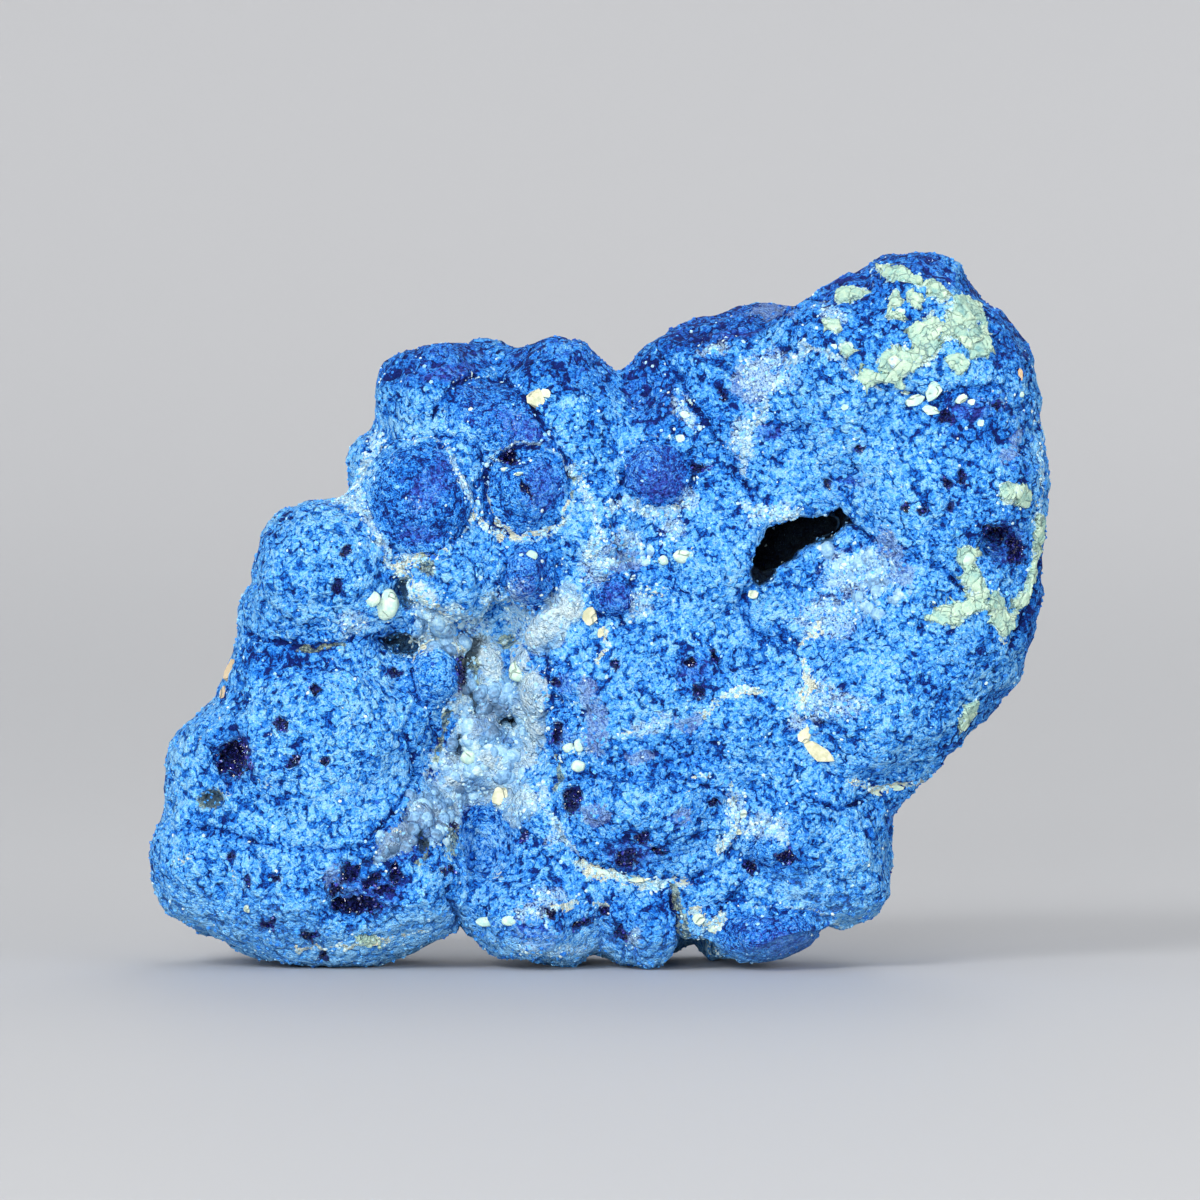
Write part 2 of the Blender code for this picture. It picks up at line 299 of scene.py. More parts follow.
def write_attribute(piece, name, values):
    """Stores one number at each vertex, which the material then reads by that name."""
    layer = piece.data.attributes.new(name, "FLOAT", "POINT")
    layer.data.foreach_set("value", np.ascontiguousarray(values, dtype=np.float32))


def step(values, low, high):
    """0 below low and 1 above high, with a smooth step between them."""
    share = np.clip((values - low) / (high - low), 0.0, 1.0)
    return share * share * (3 - 2 * share)


def lumps(places, size, seed=0.0):
    """Smooth noise from -1 to 1 at each place, whose lumps are about that size."""
    shift = Vector((seed, 2 * seed, -seed))
    return np.array([noise.noise(Vector(place) / size + shift) for place in places])


def cloudy(places, size, octaves, seed=0.0):
    """Cloudy noise about a half, each octave of it half as large and weaker than the last."""
    weights = [0.55 ** number for number in range(octaves)]
    total = sum(
        weight * lumps(places, size / 2 ** number, seed + number) for number, weight in enumerate(weights)
    )
    return 0.5 + 0.5 * total / sum(weights)


def on_front(px, py):
    """The place across and up, in metres, of a point of the photograph's 1200 pixel frame."""
    return (px - PHOTO_MIDDLE) * PIXEL, (PHOTO_GROUND - py) * PIXEL


def spot_distance(places, spot):
    """How far each place is from a spot's middle, seen from the front: 1 on its edge."""
    px, py, half_wide, half_high, lean = spot
    x, z = on_front(px, py)
    across, up = (places[:, 0] - x) / PIXEL, (places[:, 2] - z) / PIXEL
    turn = math.radians(lean)
    along = (across * math.cos(turn) + up * math.sin(turn)) / half_wide
    aside = (up * math.cos(turn) - across * math.sin(turn)) / half_high
    return np.hypot(along, aside)


def line_distance(places, line):
    """How far each place is from a line through points of the photograph, in its pixels."""
    nearest = np.full(len(places), np.inf)
    flat = places[:, [0, 2]] / PIXEL
    points = [np.array(on_front(*point)) / PIXEL for point in line]
    for start, end in zip(points, points[1:]):
        run = end - start
        share = np.clip((flat - start) @ run / (run @ run), 0.0, 1.0)
        nearest = np.minimum(nearest, np.linalg.norm(flat - start - share[:, None] * run, axis=1))
    return nearest


def nearness(places, spots=(), lines=()):
    """1 in the middle of the nearest spot or line, a half on its edge, and 0 from twice as far."""
    found = np.zeros(len(places))
    for spot in spots:
        found = np.maximum(found, 1 - 0.5 * spot_distance(places, spot))
    for half_wide, line in lines:
        found = np.maximum(found, 1 - 0.5 * line_distance(places, line) / half_wide)
    return found


# Where things are on the front, in the photograph's pixels. A spot is its middle, its half width
# and half height, and its lean to the left in degrees. Where one more number follows, it is how
# strongly a nodule is parted from the rest, how deep in mm a vug or hollow is, or how strong a tone
# is. A line is its depth in mm or its half width, and then its points.
ROUND_NODULES = {
    "big_disc": (420, 494, 52, 55, 0, 0.7), "small_disc": (527, 488, 41, 42, 0, 0.9),
    "dark_button": (657, 470, 35, 33, 0, 0.6), "plum_bead": (615, 592, 22, 21, 0, 0.6),
    "under_disc": (531, 570, 27, 34, 0, 0.5), "rosette_high": (564, 677, 18, 18, 0, 0.6),
    "rosette_low": (560, 724, 17, 20, 0, 0.6), "bottom_button": (771, 932, 57, 28, 0, 0.8),
    "crescent": (497, 416, 48, 32, -30, 0.5), "edge_bead": (441, 668, 29, 32, 0, 0.5),
    "ring": (763, 838, 25, 21, 0, 0.35),
}
VUGS = {
    "step_vug": (240, 751, 15, 19, 0, 2.4), "high_pip": (285, 717, 8, 7, 0, 1.2),
    "middle_pip": (296, 756, 7, 6, 0, 1.1), "right_pip": (327, 755, 6, 5, 0, 1.0),
    "brow_pip": (318, 684, 5, 5, 0, 0.9), "rim_pip": (396, 668, 5, 4, 0, 0.9),
    "bead_slot": (460, 671, 6, 15, 0, 1.8), "belly_nest": (352, 864, 10, 10, -10, 2.0),
    "belly_nest_middle": (374, 872, 10, 6, 20, 1.5), "belly_nest_right": (398, 866, 7, 10, 0, 2.2),
    "belly_nest_low": (386, 882, 10, 4, 0, 1.4), "belly_nest_left": (340, 880, 7, 6, 0, 1.2),
    "belly_slit": (361, 897, 29, 8, 0, 3.2), "belly_left": (272, 916, 6, 5, 0, 1.1),
    "belly_low": (311, 929, 7, 6, 0, 1.2), "belly_low_right": (326, 951, 4, 4, 0, 0.7),
    "keel_pip": (446, 864, 6, 5, 0, 1.1), "corner_pip": (235, 848, 4, 4, 0, 0.8),
    "corner_pair": (280, 870, 4, 4, 0, 0.8), "corner_pair_left": (252, 874, 4, 4, 0, 0.8),
    "keel_high": (453, 820, 5, 6, 0, 1.0), "keel_slot": (525, 830, 5, 8, 0, 1.1),
    "disc_hole": (512, 457, 10, 8, 25, 2.8), "disc_slit": (527, 485, 1.2, 12, 18, 1.6),
    "rosette_pip": (559, 677, 5, 4, 0, 0.9),
    "rosette_hole": (561, 727, 6, 11, 0, 1.6), "lens_left": (573, 794, 9, 15, 0, 2.2),
    "middle_pip_high": (615, 659, 4, 4, 0, 0.8), "middle_pair": (689, 656, 6, 5, 0, 1.2),
    "middle_pair_right": (712, 651, 5, 5, 0, 1.1), "middle_pair_low": (698, 685, 7, 8, 0, 1.4),
    "lens_nest": (628, 852, 10, 11, 0, 1.8), "lens_nest_right": (642, 831, 6, 6, 0, 1.2),
    "lens_slit": (658, 843, 9, 4, 0, 1.2), "foot_pip": (715, 797, 4, 4, 0, 0.9),
    "ring_slot": (749, 861, 6, 9, 0, 1.4), "foot_nest": (785, 848, 10, 8, 0, 1.6),
    "bead_pip": (551, 905, 7, 6, 0, 1.1), "bead_slit": (582, 918, 8, 4, 0, 1.1),
    "bead_nest": (619, 927, 7, 6, 0, 1.2), "bead_nest_high": (604, 907, 4, 4, 0, 0.8),
    "saddle_pit": (719, 391, 5, 5, 0, 1.0), "button_slit": (699, 465, 9, 4, 10, 1.0),
    "cheek_vug": (993, 526, 12, 9, 0, 2.0), "cheek_vug_low": (1011, 547, 9, 14, 0, 2.2),
    "crust_pip": (942, 414, 7, 6, 0, 1.2), "crust_pip_right": (990, 402, 5, 5, 0, 0.9),
    "block_pip": (945, 478, 4, 4, 0, 0.8), "block_slot": (956, 472, 3, 6, 0, 0.8),
    "block_left": (826, 477, 6, 4, 0, 0.9), "block_high": (857, 446, 4, 4, 0, 0.7),
    "block_low": (945, 503, 4, 4, 0, 0.8), "block_pair": (903, 503, 4, 4, 0, 0.8),
    "block_pair_right": (917, 506, 4, 4, 0, 0.8), "top_left_pit": (350, 548, 6, 5, 0, 1.1),
    "top_left_low": (341, 581, 6, 5, 0, 1.1),
}
HOLLOWS = {
    "shoulder_pit": (408, 588, 9, 15, 15, 2.2), "shoulder_cave": (404, 638, 21, 13, -8, 2.8),
    "gully_hole": (513, 717, 10, 10, 0, 3.2), "olive_pit": (216, 794, 11, 9, 0, 1.4),
    "bead_gap": (470, 652, 6, 22, -35, 1.6), "gully_gap": (478, 700, 5, 12, 20, 1.2),
    "gully_gap_low": (462, 742, 4, 14, 0, 1.0), "toe_gap": (424, 836, 6, 12, 20, 1.2),
}
CREVICES = {
    "ledge": (1.1, ((247, 628), (290, 640), (309, 645), (340, 640), (375, 632), (400, 640))),
    "bead_side": (1.3, ((436, 630), (448, 648), (467, 663), (472, 690))),
    "left_of_bead": (0.9, ((414, 655), (418, 690), (432, 705), (436, 725))),
    "diagonal": (1.3, ((654, 348), (682, 379), (697, 407), (720, 443), (742, 481), (760, 510))),
    "rim": (1.5, ((1033, 558), (1025, 601), (1015, 627), (1010, 645))),
    "bottom_notch": (1.5, ((683, 945), (681, 912), (673, 886))),
    "keel_notch": (1.6, ((464, 935), (458, 905), (452, 880))),
    "short": (1.1, ((802, 715), (816, 718), (831, 719))),
    "step": (1.2, ((206, 735), (220, 752), (236, 785))),
    "crescent_side": (1.2, ((500, 372), (515, 384), (532, 403), (552, 430), (557, 448))),
    "crescent_top": (0.9, ((480, 372), (455, 382), (440, 400), (430, 424))),
    "big_disc_top": (1.0, ((372, 452), (392, 438), (420, 430), (450, 432), (476, 445))),
    "left_of_small": (1.0, ((480, 440), (484, 462), (486, 490), (494, 515), (508, 530))),
    "above_small": (1.0, ((497, 449), (513, 446), (553, 441), (566, 455), (571, 480))),
    "button_right": (0.9, ((690, 450), (696, 470), (688, 495), (672, 508))),
    "left_shoulder": (1.2, ((352, 498), (372, 512), (384, 535), (392, 560))),
    "under_hanging": (1.0, ((425, 618), (450, 632), (480, 628), (498, 606))),
    "lens_top": (0.8, ((556, 775), (590, 768), (630, 772), (680, 768), (722, 784))),
    "lens_right": (0.9, ((722, 784), (740, 800), (738, 826), (722, 856), (690, 874))),
    "lens_low": (1.1, ((556, 800), (560, 830), (585, 858), (630, 872), (690, 874))),
    "bead_left": (0.9, ((600, 948), (598, 915), (612, 888))),
    "right_heel": (1.0, ((800, 790), (840, 800), (874, 790), (918, 778))),
    "right_foot": (1.0, ((770, 800), (756, 830), (745, 870), (720, 905))),
    "gully_left": (1.0, ((420, 700), (410, 730), (418, 765), (398, 800), (372, 830))),
    "middle_left": (0.9, ((545, 640), (548, 672), (545, 710), (556, 760))),
    "under_button": (0.9, ((625, 470), (612, 510), (618, 545), (640, 565))),
    "cave_right": (1.1, ((838, 512), (870, 540), (905, 556), (940, 565), (968, 590))),
    "cave_left": (0.9, ((752, 580), (740, 600), (752, 628), (790, 640))),
    "crown_side": (0.9, ((700, 350), (740, 372), (760, 352), (800, 345))),
    "crown_low": (0.9, ((828, 340), (850, 372), (885, 388), (930, 396), (990, 380))),
    "hanging_side": (0.8, (
        (500, 532), (505, 560), (500, 590), (488, 612), (466, 624), (445, 618), (428, 600),
    )),
    "under_disc_side": (0.5, (
        (508, 542), (504, 570), (510, 600), (530, 612), (552, 600), (562, 570), (556, 545),
    )),
    "left_belly_top": (0.9, ((172, 826), (215, 820), (262, 836), (330, 842), (380, 838))),
}
PALE_CRUSTS = {
    "crown_arc": (897, 273, 25, 6, -8), "crown_bend": (932, 289, 16, 7, -42),
    "crown_left_mass": (921, 334, 17, 26, -5), "crown_right_mass": (958, 318, 20, 18, -20),
    "crown_right_low": (972, 340, 12, 18, 25), "crown_foot": (956, 360, 12, 7, -20),
    "crown_lobe": (893, 361, 17, 16, 0), "crown_left": (850, 292, 14, 6, 12),
    "crown_drop": (892, 297, 5, 7, 0), "crown_drop_right": (909, 294, 7, 6, 0),
    "crown_drop_low": (899, 311, 9, 5, 0), "crown_spot": (826, 322, 9, 6, -30),
    "crown_spot_low": (842, 346, 8, 9, 0), "crown_mist": (880, 378, 22, 7, -10),
    "cheek_crust": (966, 572, 9, 34, 18), "cheek_foot": (956, 603, 32, 11, 12),
    "cheek_foot_right": (992, 606, 9, 24, 12), "cheek_high": (963, 548, 9, 10, 0),
    "cheek_side": (1017, 590, 4, 28, -14), "cheek_side_high": (1030, 545, 3, 40, -4),
    "cheek_patch": (1008, 490, 16, 10, -30),
    "belly_cream": (372, 935, 13, 5, -8), "right_vein": (962, 710, 7, 16, -35),
}
CREAM_LINES = {
    "disc_rim": (1.7, ((486, 478), (488, 496), (496, 513), (514, 532), (541, 532), (560, 521), (568, 494))),
    "disc_gap": (3.0, ((474, 508), (482, 516), (492, 522), (500, 530))),
    "under_left_disc": (3.0, ((398, 562), (412, 556), (430, 552), (448, 546))),
    "shoulder_wedge": (5.0, ((403, 570), (425, 588), (443, 606))),
    "knee_band": (3.4, ((704, 709), (711, 698), (726, 690), (743, 681), (762, 684))),
    "vein_high": (3.4, ((797, 643), (809, 630), (817, 622))),
    "vein": (3.0, ((800, 652), (804, 668), (806, 684), (800, 700), (792, 712))),
    "foot_vein": (3.6, ((728, 776), (736, 800), (738, 814), (724, 836), (716, 842))),
    "lens_low_line": (5.5, ((575, 858), (590, 863), (622, 873), (648, 873), (684, 877))),
    "notch_line": (5.0, ((690, 902), (700, 912), (713, 922), (722, 914))),
    "heel_line": (3.0, ((850, 776), (874, 786), (895, 782), (920, 777))),
    "middle_dash": (2.2, ((620, 726), (634, 722))), "middle_dash_low": (1.8, ((692, 771), (704, 770))),
    "bead_line": (2.8, ((418, 650), (432, 638), (452, 640), (470, 660))),
    "bottom_line": (3.6, ((545, 908), (560, 900), (580, 894), (604, 900))),
    "belly_line": (2.0, ((300, 946), (340, 938), (390, 936), (430, 926))),
    "knee_line": (2.6, ((600, 628), (604, 642), (596, 655))),
}
PALE_LINES = {
    "big_disc_left": (2.4, ((360, 480), (367, 507), (381, 534), (397, 551), (421, 553))),
    "big_disc_right": (2.6, ((452, 446), (459, 472), (470, 496), (476, 520))),
    "left_neck": (4.0, ((352, 498), (372, 512), (386, 536), (398, 562))),
    "left_ear": (5.0, ((376, 436), (366, 456), (360, 478))),
    "lens_left_line": (2.6, ((546, 780), (551, 809), (566, 834), (585, 856))),
    "right_edge_line": (1.8, ((1029, 401), (1036, 451), (1034, 506), (1029, 543), (1022, 570))),
    "saddle_line": (4.5, ((800, 345), (785, 362), (772, 384), (764, 402), (746, 430), (742, 470))),
    "button_low": (6.0, ((612, 500), (626, 498), (641, 507), (655, 514), (668, 508))),
    "crown_low_line": (3.0, ((800, 342), (826, 352), (850, 372), (880, 384))),
    "hanging_low": (6.0, ((452, 606), (466, 618), (484, 612), (492, 596))),
    "small_disc_right": (5.0, ((575, 470), (590, 500), (600, 530), (590, 556))),
    "knee_right": (3.4, ((600, 560), (630, 556), (660, 556))),
    "cave_top": (5.0, ((742, 500), (762, 508), (782, 510), (800, 506))),
    "under_button": (2.6, ((625, 540), (648, 546), (664, 540))),
    "ring_line": (3.0, ((742, 826), (756, 816), (775, 820), (786, 838))),
    "keel_white": (3.2, ((498, 800), (520, 806), (540, 800), (556, 812))),
    "toe_white": (4.0, ((470, 700), (462, 724), (448, 744), (440, 770))),
}
OLIVE_LINES = {
    "block_edge": (2.8, ((450, 708), (444, 734), (436, 756))),
    "bead_edge": (2.8, ((464, 635), (473, 655), (478, 680))),
    "ledge_line": (1.5, ((300, 646), (318, 645), (334, 641), (350, 640))),
    "toe_line": (2.4, ((418, 858), (426, 850), (428, 836))),
    "notch_olive": (3.6, ((672, 876), (680, 894), (686, 912), (688, 934))),
    "keel_olive_line": (2.0, ((558, 748), (562, 770), (556, 786))),
    "disc_olive_line": (2.2, ((570, 470), (578, 478), (572, 492))),
}
POWDERS = {
    "saddle_powder": (762, 372, 30, 26, 20), "saddle_low": (742, 432, 12, 24, 0),
    "heel_powder": (826, 696, 42, 17, 0), "cheek_globes": (856, 570, 44, 28, 0),
    "under_cave": (824, 612, 40, 22, 0), "button_side": (668, 524, 16, 14, 0),
    "button_top": (684, 408, 9, 24, 20), "left_top": (340, 498, 16, 5, 10),
    "bead_powder": (520, 612, 16, 34, 0), "shoulder_powder": (428, 596, 20, 20, 0),
    "gully_side": (600, 560, 24, 26, 0), "middle_powder": (640, 600, 16, 12, 0),
    "cap_powder": (828, 312, 14, 14, 20), "cave_rim": (768, 508, 26, 7, 15),
    "knee_powder": (655, 716, 30, 8, 20), "keel_powder": (560, 884, 22, 7, 0),
    "lens_powder": (556, 832, 8, 14, -30),
    "ring_powder": (765, 820, 26, 14, 0), "button_foot": (692, 496, 14, 12, 0),
    "lip_powder": (560, 944, 46, 7, 0), "foot_vein_powder": (734, 806, 12, 30, 0),
    "saddle_speckle": (712, 346, 16, 9, 0),
    "heel_vein_powder": (800, 716, 16, 8, -30), "middle_scatter": (540, 902, 24, 12, 0),
    "under_hanging": (478, 624, 18, 12, 0), "neck_side": (356, 618, 16, 14, 0),
    "gully_low_right": (476, 796, 16, 10, 0), "plum_side": (623, 538, 18, 12, 0),
    "bead_white": (632, 936, 12, 10, 0),
}
GULLY = {
    "top": (432, 625, 22, 20, 0), "neck": (478, 655, 20, 26, -30), "heart": (490, 705, 38, 40, 0),
    "right": (530, 715, 18, 50, 0), "low": (478, 765, 42, 36, 30), "foot": (440, 805, 40, 26, 40),
    "toe": (398, 835, 24, 16, 30), "side": (518, 796, 22, 22, 0),
    "neck_high": (548, 620, 18, 30, -30), "grey_top": (572, 600, 15, 20, 0),
}
# Deep blue spots. The discs, buttons, belly and vug nests are a deeper blue of their own. The spots along
# the top and the outer edges, where the rock turns away from the front, and those in the gully are painted
# shade.
DEEP_BLUES_AND_SHADE = {
    "big_disc": (425, 495, 50, 54, 0, 0.92), "small_disc": (527, 486, 40, 41, 0, 0.76),
    "dark_button": (657, 470, 35, 33, 0, 1.12), "bottom_button": (771, 932, 57, 28, 0, 1.0),
    "crescent": (500, 410, 56, 30, -30, 0.95), "plum_bead": (615, 592, 22, 21, 0, 0.9),
    "under_disc": (531, 572, 27, 34, 0, 0.95), "top_left": (440, 362, 64, 24, 10, 0.9),
    "top_lobe": (560, 362, 62, 34, -8, 0.8), "top_lobe_side": (600, 392, 14, 34, -20, 0.5),
    "bead_deep": (640, 925, 40, 34, 0, 0.5), "keel_left": (450, 800, 26, 40, 0, 0.3),
    "saddle_edge": (726, 324, 74, 22, 15, 1.0), "crown_edge": (870, 275, 64, 24, 25, 0.9),
    "crown_top": (930, 268, 32, 16, -35, 0.9),
    "crown_right": (995, 320, 34, 62, 25, 0.8), "temple_blue": (975, 412, 60, 32, 0, 0.65),
    "right_edge": (1035, 600, 20, 80, 0, 0.7), "heel_edge": (975, 725, 60, 24, 45, 0.6),
    "button_left": (650, 392, 30, 46, 20, 0.85), "belly": (370, 880, 52, 32, 0, 0.6),
    "belly_floor": (290, 915, 90, 22, -5, 0.2), "corner": (200, 860, 34, 50, 0, 0.25),
    "step": (240, 738, 26, 26, 0, 0.4), "ledge": (290, 655, 60, 20, 0, 0.6),
    "bead": (440, 668, 30, 32, 0, 0.6), "keel": (530, 920, 66, 36, 0, 0.35),
    "notch": (664, 905, 24, 30, 0, 0.25), "foot": (845, 900, 44, 30, 0, 0.25),
    "rosette_high": (566, 677, 18, 18, 0, 0.4), "rosette_low": (562, 724, 17, 21, 0, 0.4),
    "foot_vugs": (785, 850, 34, 26, 0, 0.6),
    "lens_vugs": (630, 845, 50, 22, 0, 0.6), "cheek_vugs": (1000, 535, 34, 30, 0, 0.5),
    "left_top_side": (300, 560, 50, 26, 0, 0.12), "middle_vugs": (695, 670, 34, 30, 0, 0.45),
    "heel_low": (900, 810, 34, 24, 30, 0.4), "lower_right": (945, 655, 60, 30, 30, 0.35),
    "toe_deep": (414, 828, 40, 24, 35, 1.0), "gully_side_deep": (450, 742, 14, 26, 0, 0.6),
    "gully_heart_deep": (486, 712, 28, 24, 0, 0.75),
    "crown_body": (868, 322, 56, 44, 0, 0.5), "saddle_side": (712, 378, 30, 36, 0, 0.3),
    "right_rim": (1018, 470, 16, 52, 0, 0.45),
    "saddle_low": (706, 430, 30, 34, 0, 0.45), "middle_low": (640, 742, 90, 28, 0, 0.3),
    "crown_left": (815, 318, 30, 26, 30, 0.6), "button_top": (684, 415, 24, 24, 0, 0.5),
}
# Painted light: spots where the rock's colour is made paler to lift its own shade, in the gully's hollows,
# under overhangs, on the lower lip and on broad faces. The last number is how strong it is.
PAINTED_LIGHT_SPOTS = {
    "disc_band": (418, 426, 40, 13, 8, 0.55), "disc_band_right": (468, 462, 13, 42, 10, 0.4),
    "left_ear": (362, 462, 14, 22, 0, 0.35), "small_disc_side": (584, 500, 20, 46, 0, 0.25),
    "hanging": (450, 596, 36, 30, 0, 0.4), "under_small": (500, 612, 30, 30, 0, 0.6),
    "right_block": (860, 440, 90, 60, 0, 0.1),
    "left_block": (340, 700, 70, 60, 0, 0.12), "belly_light": (240, 830, 80, 40, 0, 0.16),
    "lens": (640, 790, 70, 24, 0, 0.12), "foot": (850, 850, 50, 60, 0, 0.12),
    "step_edge": (190, 760, 16, 40, 0, 0.25), "neck_side": (356, 620, 26, 20, 0, 0.35),
    "rosette_side": (560, 630, 26, 26, 0, 0.2), "upper_left": (310, 540, 60, 40, 0, 0.1),
    "bottom_lip": (560, 940, 76, 18, 0, 0.3), "left_low": (330, 606, 30, 16, 0, 0.4),
    "keel_high": (480, 836, 30, 16, 0, 0.4), "block_low": (350, 765, 50, 26, 0, 0.2),
    "middle": (650, 630, 70, 50, 0, 0.12),
}
OLIVES = {
    "olive_pit": (214, 793, 12, 9, 0), "ledge_olive": (309, 645, 9, 3, 0),
    "gully_olive": (430, 560, 10, 12, 0), "keel_olive": (452, 830, 7, 22, 0),
    "gully_edge": (510, 640, 10, 8, 0),
}
VIOLETS = {
    "small_disc_heart": (542, 484, 20, 22, 0), "big_disc_heart": (434, 480, 14, 26, -30),
    "big_disc_low": (418, 528, 22, 10, 0), "button_heart": (662, 480, 20, 16, 0),
    "crescent_side": (520, 425, 30, 10, -30), "under_disc_heart": (528, 582, 8, 10, 0),
    "plum_heart": (618, 590, 16, 14, 0), "crown_rim": (990, 300, 7, 12, 25),
    "saddle_rim": (735, 332, 22, 5, 10), "lens_heart": (628, 847, 24, 12, 0),
    "belly_heart": (375, 882, 34, 16, 0), "bottom_heart": (786, 936, 34, 12, 0),
    "cheek_heart": (1002, 538, 18, 20, 0), "step_heart": (240, 744, 17, 16, 0),
    "temple_heart": (965, 408, 26, 10, 0), "crest_heart": (770, 430, 16, 8, 0),
    "top_left_heart": (452, 372, 26, 8, 10), "lens_top_heart": (680, 812, 12, 8, 0),
    "heel_heart": (905, 815, 20, 14, 30), "keel_heart": (535, 925, 26, 12, 0),
    "block_heart": (850, 478, 14, 6, 0), "rosette_heart": (566, 678, 10, 10, 0),
    "rosette_low_heart": (563, 728, 9, 11, 0), "middle_heart": (694, 664, 18, 14, 0),
}
GULLY_LOBES = {
    "high": (459, 639, 17, 11, -20), "middle": (487, 656, 22, 14, -45), "right": (539, 688, 12, 25, 0),
    "neck": (522, 653, 13, 15, 0), "neck_high": (546, 622, 13, 24, -30), "low_left": (455, 775, 13, 9, 20),
    "low": (492, 752, 14, 10, 0), "right_low": (537, 722, 8, 14, 0), "side": (531, 742, 11, 14, 0),
    "wedge": (427, 590, 20, 10, -40), "under_hanging": (446, 626, 14, 8, -30),
    "grey_top": (571, 602, 12, 16, 0),
}
GREYS = {
    "lens_grey": (593, 806, 16, 11, -20), "middle_grey": (598, 722, 14, 26, 0),
    "middle_grey_high": (588, 690, 10, 16, 0), "low_grey": (640, 748, 14, 8, 0),
    "lens_grey_right": (679, 810, 8, 9, 0), "cave_grey": (885, 545, 20, 16, -40),
    "cave_grey_low": (900, 570, 16, 12, -30), "knee_grey": (690, 712, 12, 10, 20),
    "saddle_grey": (752, 382, 24, 24, 20), "belly_grey": (338, 866, 12, 14, 0),
    "crown_grey": (1012, 440, 8, 12, 0), "crown_grey_low": (1000, 452, 10, 8, 0),
    "bead_grey": (628, 560, 22, 9, 10), "top_grey": (770, 312, 24, 10, 0),
}
# A spot here ends with how far it moves the outline to the right and down, so that it fits the photo.
EDGE_SHIFTS = {
    "left_shoulder": (214, 666, 26, 54, 8, 4), "left_neck": (246, 563, 16, 30, 9, 0),
    "left_top": (290, 508, 30, 16, 0, -5), "left_foot": (192, 932, 26, 16, 4, -4),
    "top_lobe": (594, 352, 18, 13, 2, -6), "crest": (806, 288, 26, 18, 3, 9),
    "crown_top": (884, 268, 38, 18, 0, -5),
    "crown_right": (984, 284, 24, 24, -7, 7), "right_side": (1034, 578, 18, 26, 6, 0),
    "right_high": (1050, 508, 10, 20, -5, 0), "right_low": (1002, 704, 20, 18, -4, -3),
    "heel_low": (942, 762, 18, 18, -4, -4), "heel": (903, 804, 24, 22, 9, 9),
    "foot_side": (878, 898, 26, 32, 9, 6), "foot_low": (812, 952, 46, 20, -5, -20),
    "bottom_arch": (590, 945, 30, 24, 0, 14), "foot_notch": (695, 952, 16, 14, 0, -17),
    "foot_corner": (717, 952, 12, 8, -6, 4), "top_peak": (568, 342, 22, 12, 0, -5),
    "top_left_peak": (452, 346, 24, 12, 0, -5), "bottom_left": (385, 955, 40, 14, 0, 4),
}
CAVE_OUTLINE = (
    (750, 567), (756, 554), (765, 543), (771, 529), (781, 525), (795, 518), (809, 519), (817, 520),
    (825, 516), (829, 508), (836, 509), (842, 517), (854, 516), (843, 521), (838, 528), (831, 536),
    (815, 540), (799, 545), (795, 551), (783, 560), (774, 561), (775, 569), (767, 577), (759, 582),
    (751, 575), (750, 567),
)


def outline_distance(places, outline):
    """How far each place is from a closed outline, in pixels: negative inside it."""
    away = line_distance(places, outline)
    flat = places[:, [0, 2]] / PIXEL
    points = [np.array(on_front(*point)) / PIXEL for point in outline]
    inside = np.zeros(len(places), dtype=bool)
    for (x1, z1), (x2, z2) in zip(points, points[1:]):
        crosses = (z1 > flat[:, 1]) != (z2 > flat[:, 1])
        inside ^= crosses & (flat[:, 0] < (x2 - x1) * (flat[:, 1] - z1) / (z2 - z1 + 1e-9) + x1)
    return np.where(inside, -away, away)


only(rock)
bpy.ops.object.mode_set(mode="EDIT")
bpy.ops.mesh.select_all(action="SELECT")
bpy.ops.mesh.remove_doubles(threshold=MERGE_AWAY)
bpy.ops.object.mode_set(mode="OBJECT")
finish_with(rock, "SUBSURF", levels=1, render_levels=1)
finish_with(rock, "REMESH", mode="VOXEL", voxel_size=BODY_VOXEL)
finish_with(rock, "SMOOTH", factor=0.5, iterations=4)
select_faces(rock, rows(rock.data.polygons, "normal")[:, 1] < FRONT_FACING)
bpy.ops.mesh.subdivide(number_cuts=1, smoothness=0.0)
bpy.ops.object.mode_set(mode="OBJECT")
centres = rows(rock.data.polygons, "center")
wanted = np.abs(outline_distance(centres, CAVE_OUTLINE)) < 7
for *spot, depth in (VUGS | HOLLOWS).values():
    wanted |= (spot_distance(centres, spot) - 1) * min(spot[2:4]) < 4
for *spot, parted in ROUND_NODULES.values():
    wanted |= np.abs((spot_distance(centres, spot) - 1) * min(spot[2:4]) - 3) < 5
for depth, line in CREVICES.values():
    wanted |= line_distance(centres, line) < 4
for spot in PALE_CRUSTS.values():
    wanted |= spot_distance(centres, spot) < 1.1
wanted &= (centres[:, 1] < FINE_CUT_BACK) & (rows(rock.data.polygons, "normal")[:, 1] < FRONT_FACING)
select_faces(rock, wanted)
bpy.ops.mesh.subdivide(number_cuts=1, smoothness=0.0)
bpy.ops.object.mode_set(mode="OBJECT")
finish_with(rock, "SMOOTH", factor=0.5, iterations=2)
finish_with(rock, "TRIANGULATE")

